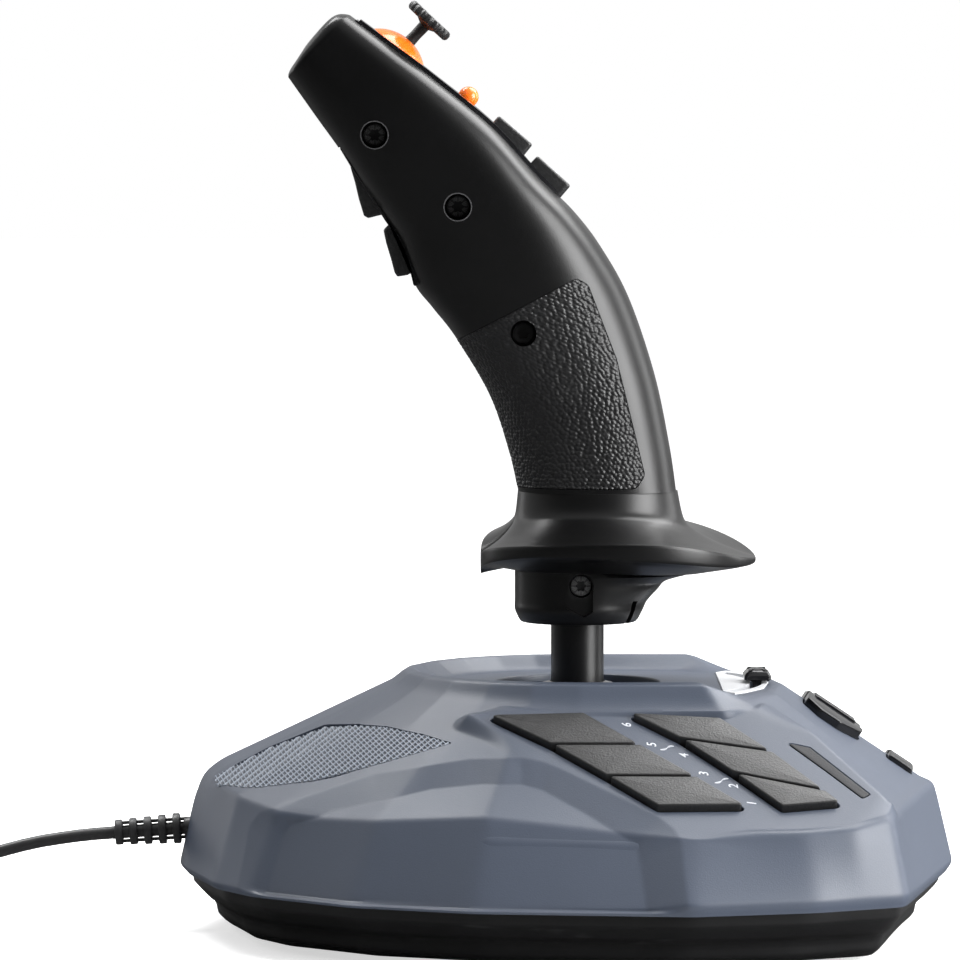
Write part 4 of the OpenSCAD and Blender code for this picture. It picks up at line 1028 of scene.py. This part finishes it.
# rings of the grip, from the rest up: x and z of the front edge, x and z of the rear edge, the width,
# and the power of the rear half's curve, which is 2 for an ellipse and more for a squarer one
STATIONS = np.array([
    [-15.9, 117.8, 26.4, 117.8, 34, 2.3], [-18.2, 128, 24.6, 130, 34, 2.3],
    [-23.5, 143.5, 20.6, 149, 35, 2.3], [-32.6, 158.8, 13.8, 169.2, 37, 2.3],
    [-38.8, 166.8, 6.5, 182.6, 39, 2.6], [-43.7, 173.3, -1, 192.5, 40, 3.1],
    [-48.4, 185.6, -10.2, 201.6, 41, 3.8], [-55.6, 196.7, -23, 215.6, 41, 4.5],
    [-62.7, 207.8, -38.6, 228.3, 40, 5], [-70, 218, -50, 236.8, 38, 5], [-77.2, 228.2, -60.8, 244.8, 34, 5]])
CROWN = np.array([
    [-77.2, 229, -61.8, 245, 33.6, 5], [-76.7, 230.2, -63.6, 245, 32.4, 5],
    [-75.8, 231.5, -65.4, 244.2, 30, 5], [-74.6, 233.3, -67.5, 242.3, 26, 4.5],
    [-72.9, 236.1, -69.6, 240.1, 14, 3]])
FRONT_POWER = 2.3


def station(s):
    return on_curve(STATIONS, s * (len(STATIONS) - 1))


def grip_ring(q, off, n):
    middle = np.array([q[0] + q[2], q[1] + q[3]]) / 2
    half = np.array([q[2] - q[0], q[3] - q[1]]) / 2
    k = 1 + off / np.linalg.norm(half)
    a = np.arange(n) * 2 * math.pi / n
    power = np.where(np.cos(a) > 0, q[5], FRONT_POWER + (q[5] - FRONT_POWER) / 4)
    fore = np.sign(np.cos(a)) * np.abs(np.cos(a)) ** (2 / power)
    wide = np.sign(np.sin(a)) * np.abs(np.sin(a)) ** (2 / power)
    p = middle + half * k * fore[:, None]
    return np.column_stack([STICK_X + p[:, 0], (q[4] / 2 + off) * wide, p[:, 1]])


def grip_solid(off=0.0, s1=0.0, s2=1.0, crown=False, n=128, steps=150):
    rings = [grip_ring(station(s), off, n) for s in np.linspace(s1, s2, steps)]
    if crown:
        rings += [grip_ring(q, off, n) for q in catmull(np.concatenate([[station(1.0)], CROWN]), 16)[1:]]
    return skin(rings)


def pad_outline(shrink):
    top, low = 158.3 - shrink, 119 + shrink
    base = [[-60, top - 0.42 * 27.4], [-32.6, top], [-0.6, 175.2 - shrink], [2.6 - shrink, 173.4],
            [10.2 - shrink, 153.6], [17.8 - shrink, 122.6], [15.4 - shrink, low], [-60, low]]
    return round_corners(base, [0.1, 0.5, 2.4, 2.4, 6, 2.2, 2.2, 0.1])


def tilted(shape, spot, tilt):
    return place(shape, rotation(("Y", tilt)), [STICK_X + spot[0], 0, spot[1]])


FACE_AT, FACE_TILT = (-60.5, 244.2), 40.5
TRIGGER_AT, TRIGGER_TILT, TRIGGER_PIVOTS = (-62.7, 207.8), 62, (5.0, 22.8)
THUMB_AT, THUMB_TILT, DOME_R = (-53.2, 229.0), 43.3, 12.3
HAT_AT, HAT_TILT, HAT_DEPTH = (-31.2, 220.8), 41, 5.0
BUTTON_HALF = (6.1, 4.5)
BUTTON_PLACES = [(-17.6, 213.0, 40.5), (-7.4, 202.2, 42)]
GRIP_SCREWS = [(-54.0, 213.0), (-32.0, 194.0), (-14.6, 160.5)]
PLAY = 0.3


def on_trigger(shape):
    return tilted(shape, TRIGGER_AT, TRIGGER_TILT)


def on_thumb(shape):
    return tilted(shape, THUMB_AT, THUMB_TILT)


def on_hat(shape):
    return tilted(shape, HAT_AT, HAT_TILT)


def face_outline(shrink):
    """Outline of the face plate: square at the tip, swelling, then a round tongue."""
    right = [[1.5 + shrink, -12 + shrink], [20, -12.5 + shrink], [40, -13 + shrink], [56, -10.6 + shrink]]
    tongue = [[66 + (8.2 - shrink) * math.cos(t), (8.2 - shrink) * math.sin(t)] for t in sweep(-75, 75, 25)]
    left = [[x, -y] for x, y in right[::-1]]
    return np.array(right + tongue + left)


def face_prism(shrink, high=14):
    return tilted(prism(face_outline(shrink), -6, high), FACE_AT, FACE_TILT)


def control_cutters():
    ball = [(0, -DOME_R)] + arc(DOME_R + PLAY, np.linspace(0.1, 3.04, 40), up=-1) + [(0, DOME_R + PLAY)]
    w, d = (half + PLAY for half in BUTTON_HALF)
    hole = prism(rectangle(-w, w, -d, d, 1.2), -8, 6)
    return [on_thumb(revolve(ball)), on_hat(rod(6.2, -8, 8, 64)),
            *[tilted(hole, (x, z), tilt) for x, z, tilt in BUTTON_PLACES]]


def screw_cutters():
    bore = skin([circle(r, 48, h) for r, h in ((1.6, -13), (1.6, 13.5), (3.5, 13.51), (3.5, 30))])
    return [across_stick(bore, x, 0, z) for x, z in GRIP_SCREWS]


core = grip_solid(-1.2, n=96, steps=100)
cavity = to_object("cavity", grip_solid(-2.4, 0.05, 0.975, n=96, steps=100))
carve(cavity, *[across_stick(rod(4.2, -30, 30, 40), x, 0, z) for x, z in GRIP_SCREWS])
recess = to_object("recess", side_prism(pad_outline(0), -40, 40))
carve(recess, face_prism(0), how="UNION")
carve(recess, core)
trigger_hole = on_trigger(prism(rectangle(-2.1, 40.1, -9.1, 9.1), -4, 7))
grip = to_object("grip", grip_solid(crown=True))
carve(grip, cavity, recess, shaft_bore(100, 140), *control_cutters(), *screw_cutters(), trigger_hole)

for side, word in SIDES:
    half = linked("handle_half_" + word, grip.data.copy())
    carve(half, on_side(prism(rectangle(-150, 150, 0.06, 100), 80, 280), side), how="INTERSECT")
    finish_piece(half, SHELL, "stick", ["handle_" + word], 32)
bpy.data.objects.remove(grip)


# ---------- leather-grained pad ----------

def pebble(u, v, size):
    """Height from 0 in the creases to 1 on the tops of round pebbles, on a jittered grid of cells."""
    jitter = np.random.default_rng(7).uniform(-0.3, 0.3, (256, 256, 2))
    gu, gv = u / size, v / (size * 0.87)
    row = np.floor(gv).astype(int)
    best = np.full(len(u), 9.0)
    for dr in (-1, 0, 1):
        r = row + dr
        shift = 0.5 * (r % 2)
        column = np.floor(gu - shift).astype(int)
        for dc in (-1, 0, 1):
            c = column + dc
            move = jitter[r % 256, c % 256]
            du, dv = gu - (c + 0.5 + shift + move[:, 0]), (gv - (r + 0.5 + move[:, 1])) * 0.87
            best = np.minimum(best, np.hypot(du, dv))
    return 1 - smooth_step((best - 0.2) / 0.42)


def pad_piece():
    n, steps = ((640, 330))
    rings = [grip_ring(station(s), 0.0, n) for s in np.linspace(0.0, 0.4, steps)]
    points, faces = skin(rings)
    rows = np.array(rings)
    around = np.linalg.norm(np.diff(rows, axis=1, append=rows[:, :1]), axis=2)
    u = np.concatenate([np.zeros((steps, 1)), np.cumsum(around, 1)[:, :-1]], 1)
    centre = rows.mean(1)
    v = np.concatenate([[0], np.cumsum(np.linalg.norm(np.diff(centre, axis=0), axis=1))])
    # the two points at the end close the caps
    bumps = np.concatenate([pebble(u.ravel(), np.repeat(v, n), 1.25), [1.0, 1.0]])
    middle = np.concatenate([np.repeat(centre, n, 0), points[-2:] + [0, 0, 1]])
    points = points + unit(points - middle) * ((bumps - 1.0) * 0.28 + 0.1)[:, None]
    pad = to_object("leather_pad", (points, faces))
    keep = carve(to_object("keep", side_prism(pad_outline(0.22), -40, 40)), core)
    carve(pad, keep, how="INTERSECT")
    carve(pad, screw_cutters()[2])
    finish_piece(pad, LEATHER, "stick", ["finger_grip"], 60)


pad_piece()


# ---------- face plate ----------

def face_layer(name, off, shrink):
    """Skin of the grip's head, off outside its surface, cut to the face plate's outline."""
    layer = carve(to_object(name, grip_solid(off, crown=True, n=160)), core)
    return carve(layer, face_prism(shrink, 20), how="INTERSECT")


panel = carve(face_layer("face_panel", 0.95, 1.0), face_layer("rim", 0.35, 0.3), how="UNION")
carve(panel, *control_cutters())
finish_piece(panel, GLOSS, "stick", ["face_plate"], 30)


# ---------- grip screws ----------

def grip_screw(x, z):
    return merge(across_stick(screw_head(3.0, 2.0, 1.7), x, -13, z),
                 across_stick(rod(1.6, -13, 13.1, 24), x, 0, z))


# thin lighter grey rings round the two upper screw recesses: a painted highlight on the recess edges
rim_ring = skin([circle(r, 64, h) for r, h in ((3.52, 5), (3.52, 40), (3.8, 40), (3.8, 5))], joined=True)
rims = to_object("recess_rims", grip_solid(0.06, 0.3, 0.98, n=96, steps=100))
carve(rims, grip_solid(-0.6, 0.28, n=96, steps=100))
carve(rims, merge(*[across_stick(rim_ring, x, 0, z) for x, z in GRIP_SCREWS[:2]]), how="INTERSECT")
finish_piece(rims, RIM_PAINTED_HIGHLIGHT, "stick", angle=40)
heads = [grip_screw(x, z) for x, z in GRIP_SCREWS]
piece("grip_screws", merge(*heads[:2]), SCREW, "stick", ["handle_screws"])
# the lowest screw head takes the grip's black instead of the screw finish: painted shade, so it reads as a
# dark hole
piece("grip_screw_low", heads[2], SHELL, "stick", ["handle_screws"])


# ---------- triggers ----------

def side_sweep(profile, half, soften):
    """Outline in the XZ plane swept across Y, with its two side edges rounded over."""
    steps = [(half, soften), (half - 0.1 * soften, 0.55 * soften), (half - 0.4 * soften, 0.2 * soften),
             (half - soften, 0.0)]
    rings = []
    for y, shrink in [(-w, d) for w, d in steps] + steps[::-1]:
        o = inset(profile, shrink)
        rings.append(np.column_stack([o[:, 0], np.full(len(o), y), o[:, 1]]))
    return skin(rings)


def bezel_piece():
    profile = round_corners([
        [-2, 0.1], [4, 0.4], [9, 0.9], [15, 1.3], [20.5, 1.7], [26, 2.3], [30, 2.2], [35, 1.5], [40, 0.2],
        [40, 2.6], [35, 3.9], [30, 4.6], [26, 4.7], [20.5, 4.1], [15, 3.7], [9, 3.3], [4, 2.8], [-2, 2.5]
    ], 0.6, 3)
    body = to_object("trigger_frame", on_trigger(side_sweep(profile, 9.0, 0.5)))
    for x0, x1 in ((2.6, 19.9), (21.7, 37.4)):
        carve(body, on_trigger(prism(rectangle(x0, x1, -6.4, 6.4, 1.0), -1, 7)))
    for x in TRIGGER_PIVOTS:
        for y in (-7.8, 7.8):
            ear = rectangle(x - 2.4, x + 2.4, y - 1.2, y + 1.2, 0.3)
            carve(body, on_trigger(block(ear, 2.4, 6.8, 0.3)), how="UNION")
        carve(body, on_trigger(place(rod(1.2, -12, 12, 24), SIDE_ON, [x, 0, 5])))
    finish_piece(body, SHELL, "stick", ["trigger_bezel"])


bezel_piece()


def trigger_piece(name, node, at, profile):
    body = to_object(name, on_trigger(side_sweep(round_corners(profile, 0.7), 6.0, 0.8)))
    carve(body, on_trigger(place(rod(1.0, -8.8, 8.8, 24), SIDE_ON, [at, 0, 5])), how="UNION")
    finish_piece(body, KEY, node, [node], 35)


trigger_piece("trigger_top", "trigger_upper", TRIGGER_PIVOTS[0], [
    [3.4, 6.6], [3.4, 0.8], [4, 0.2], [8, -0.6], [12.5, -1.8], [17.1, -2.7], [18.2, -2], [19.2, 2],
    [18.7, 6.6]])
trigger_piece("trigger_low", "trigger_lower", TRIGGER_PIVOTS[1], [
    [22.3, 6.6], [22.3, 1.9], [22.9, 0.1], [26.3, -0.9], [30.4, -1.7], [34.2, -2.6], [35.6, -2.5],
    [36.5, 0.1], [36.3, 6.6]])


# ---------- thumb stick, hat and buttons ----------

dome = [(0, DOME_R)] + arc(DOME_R, sweep(1, 54, 48)) + arc(DOME_R - 1.2, sweep(54, 9, 30))
dome += [(1.6, DOME_R - 1.4), (1.6, 2), (3, 1.7), (3, -2), (0, -2)]
pivot_bar = place(rod(0.7, -5.8, 5.8, 24), ALONG_X)
piece("orange_dome", on_thumb(merge(revolve(dome), pivot_bar)), ORANGE, "thumb_stick",
      ["thumb_dome"], 40)


def thumb_cap_shape():
    n = 144
    a = np.arange(n) * 2 * math.pi / n
    tooth = 0.5 + 0.5 * np.cos(18 * a)
    # radius, height, and how deep the teeth cut there
    rows = [(1.6, DOME_R - 0.1, 0), (1.5, 14.5, 0), (1.6, 17.7, 0), (3.0, 18.4, 0), (6.2, 18.45, 0.1),
            (6.75, 18.8, 0.35), (7.0, 19.3, 0.5), (7.0, 20.3, 0.5), (6.6, 20.9, 0.35), (6.1, 21.1, 0.2),
            (5.2, 20.6, 0), (3.5, 20.35, 0), (1.5, 20.7, 0), (0.2, 20.8, 0)]
    return skin([circle(1.0, n, z) * np.column_stack([r - bite * tooth, r - bite * tooth, np.ones(n)])
                 for r, z, bite in rows])


piece("thumb_top", on_thumb(thumb_cap_shape()), KEY, "thumb_stick", ["thumb_cap"], 35)

HAT_PIVOT = [0, 0, -HAT_DEPTH]
cup = revolve([(4.6, -8), (6.2, -8), (6.2, 1.1), (5.9, 1.4), (4.9, 1.4), (4.6, 1.1)])
cup = carve(to_object("hat_cup", on_hat(cup)), on_hat(place(rod(0.7, -8, 8, 24), SIDE_ON, HAT_PIVOT)))
finish_piece(cup, GLOSS, "stick", ["hat_pad"])
ball = revolve([(0, -5), (0.9, -5), (0.9, 0.3)] + arc(2.75, sweep(20, 179, 48), 3, -1) + [(0, 5.75)], 64)
root = revolve([(0, -1.5)] + arc(1.5, sweep(10, 170, 20), up=-1) + [(0, 1.5)], 32)
bar = place(rod(0.5, -3.2, 3.2, 16), ALONG_X, HAT_PIVOT)
piece("orange_ball", on_hat(merge(ball, place(root, None, HAT_PIVOT), bar)), ORANGE, "hat",
      ["hat_ball"], 40)

w, d = BUTTON_HALF
cap = block(rectangle(-w, w, -d, d, 1.4), -5.4, 1.6, 0.7, draft=0.15)
mark = block(rectangle(-2.2, 2.2, -0.5, 0.5, 0.45), 1.5, 1.66, 0.05)
for (x, z, tilt), word in zip(BUTTON_PLACES, ("upper", "lower")):
    node = "face_button_" + word
    piece("push_" + word, tilted(cap, (x, z), tilt), KEY, node, [node], 40)
    piece("push_mark_" + word, tilted(mark, (x, z), tilt), PRINT, node)


# ================= CAD nodes that stay =================

KEPT = [
    (STEEL, "ballast_weights pitch_springs gimbal_ring roll_springs gimbal_block thumb_yoke hat_yoke"),
    (PAN, "gimbal_frame thumb_bracket"), (BOARD, "main_board handle_board"), (SCREW, "pan_screws"),
    (MEMBRANE, "button_membranes")
]
for finish, names in KEPT:
    for name in names.split():
        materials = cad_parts[name].data.materials
        materials.clear()
        materials.append(finish)


# ================= studio =================

# the floor is seen as a white sweep, and dark objects don't mirror it
floor = linked("floor", bpy.data.meshes.new("floor"))
floor.data.from_pydata([(-8, -8, 0), (8, -8, 0), (8, 8, 0), (-8, 8, 0)], [], [(0, 1, 2, 3)])
FLOOR = material("floor_white", (0.9, 0.9, 0.9), 0.7, spread=0.01, grain=300, bump=0.01)
floor.data.materials.append(FLOOR)
tree = FLOOR.node_tree
mix_in(tree, add_node(tree, "LightPath", "Is Glossy Ray"), (0.08, 0.08, 0.08))
glow = {0: add_node(tree, "LightPath", "Is Camera Ray"), 1: 0.6}
feed(tree, tree.nodes["Principled BSDF"], {
    "Specular IOR Level": 0.0, "Emission Color": (1, 1, 1, 1),
    "Emission Strength": add_node(tree, "Math", "Value", glow, operation="MULTIPLY")
})

# the world is dark only from the front and low down; bright from behind, from the sides and from above
world = bpy.data.worlds.new("studio")
bpy.context.scene.world = world
world.use_nodes = True
tree = world.node_tree
split = add_node(tree, "SeparateXYZ", "Y", {"Vector": add_node(tree, "TexCoord", "Generated")}).node
high = {0: split.outputs["Z"], 1: 1.15, 2: split.outputs["Y"]}
facing = remap(tree, add_node(tree, "Math", "Value", high, operation="MULTIPLY_ADD"), 0.015, 0.6, -0.45, 0.25,
               interpolation_type="SMOOTHSTEP")
seen = {"Factor": add_node(tree, "LightPath", "Is Camera Ray"), "A": facing, "B": 1.0}
feed(tree, tree.nodes["Background"], {
    "Color": (1, 1, 1, 1), "Strength": add_node(tree, "Mix", "Result", seen, data_type="FLOAT")
})


def softbox(name, place_at, target, size, power):
    light = bpy.data.lights.new(name, "AREA")
    light.shape = "RECTANGLE"
    light.size, light.size_y = size
    light.energy = power
    obj = linked(name, light)
    obj.location = place_at
    obj.rotation_euler = (Vector(target) - Vector(place_at)).to_track_quat("-Z", "Y").to_euler()
    obj.visible_camera = False


softbox("over_right", (0.52, 0.32, 0.95), (0.12, 0, 0.05), (0.8, 0.8), 15)
softbox("over_left", (-0.33, 0.3, 0.9), (-0.05, -0.05, 0.04), (0.5, 0.3), 6)
softbox("front_right", (0.95, -0.5, 0.35), (0.05, -0.04, 0.08), (0.6, 0.8), 22)
softbox("left", (-1.0, 0.85, 0.5), (0, 0, 0.15), (0.25, 1.2), 1.5)
softbox("right", (1.1, 0.5, 0.55), (0, 0, 0.15), (0.4, 1.2), 6)
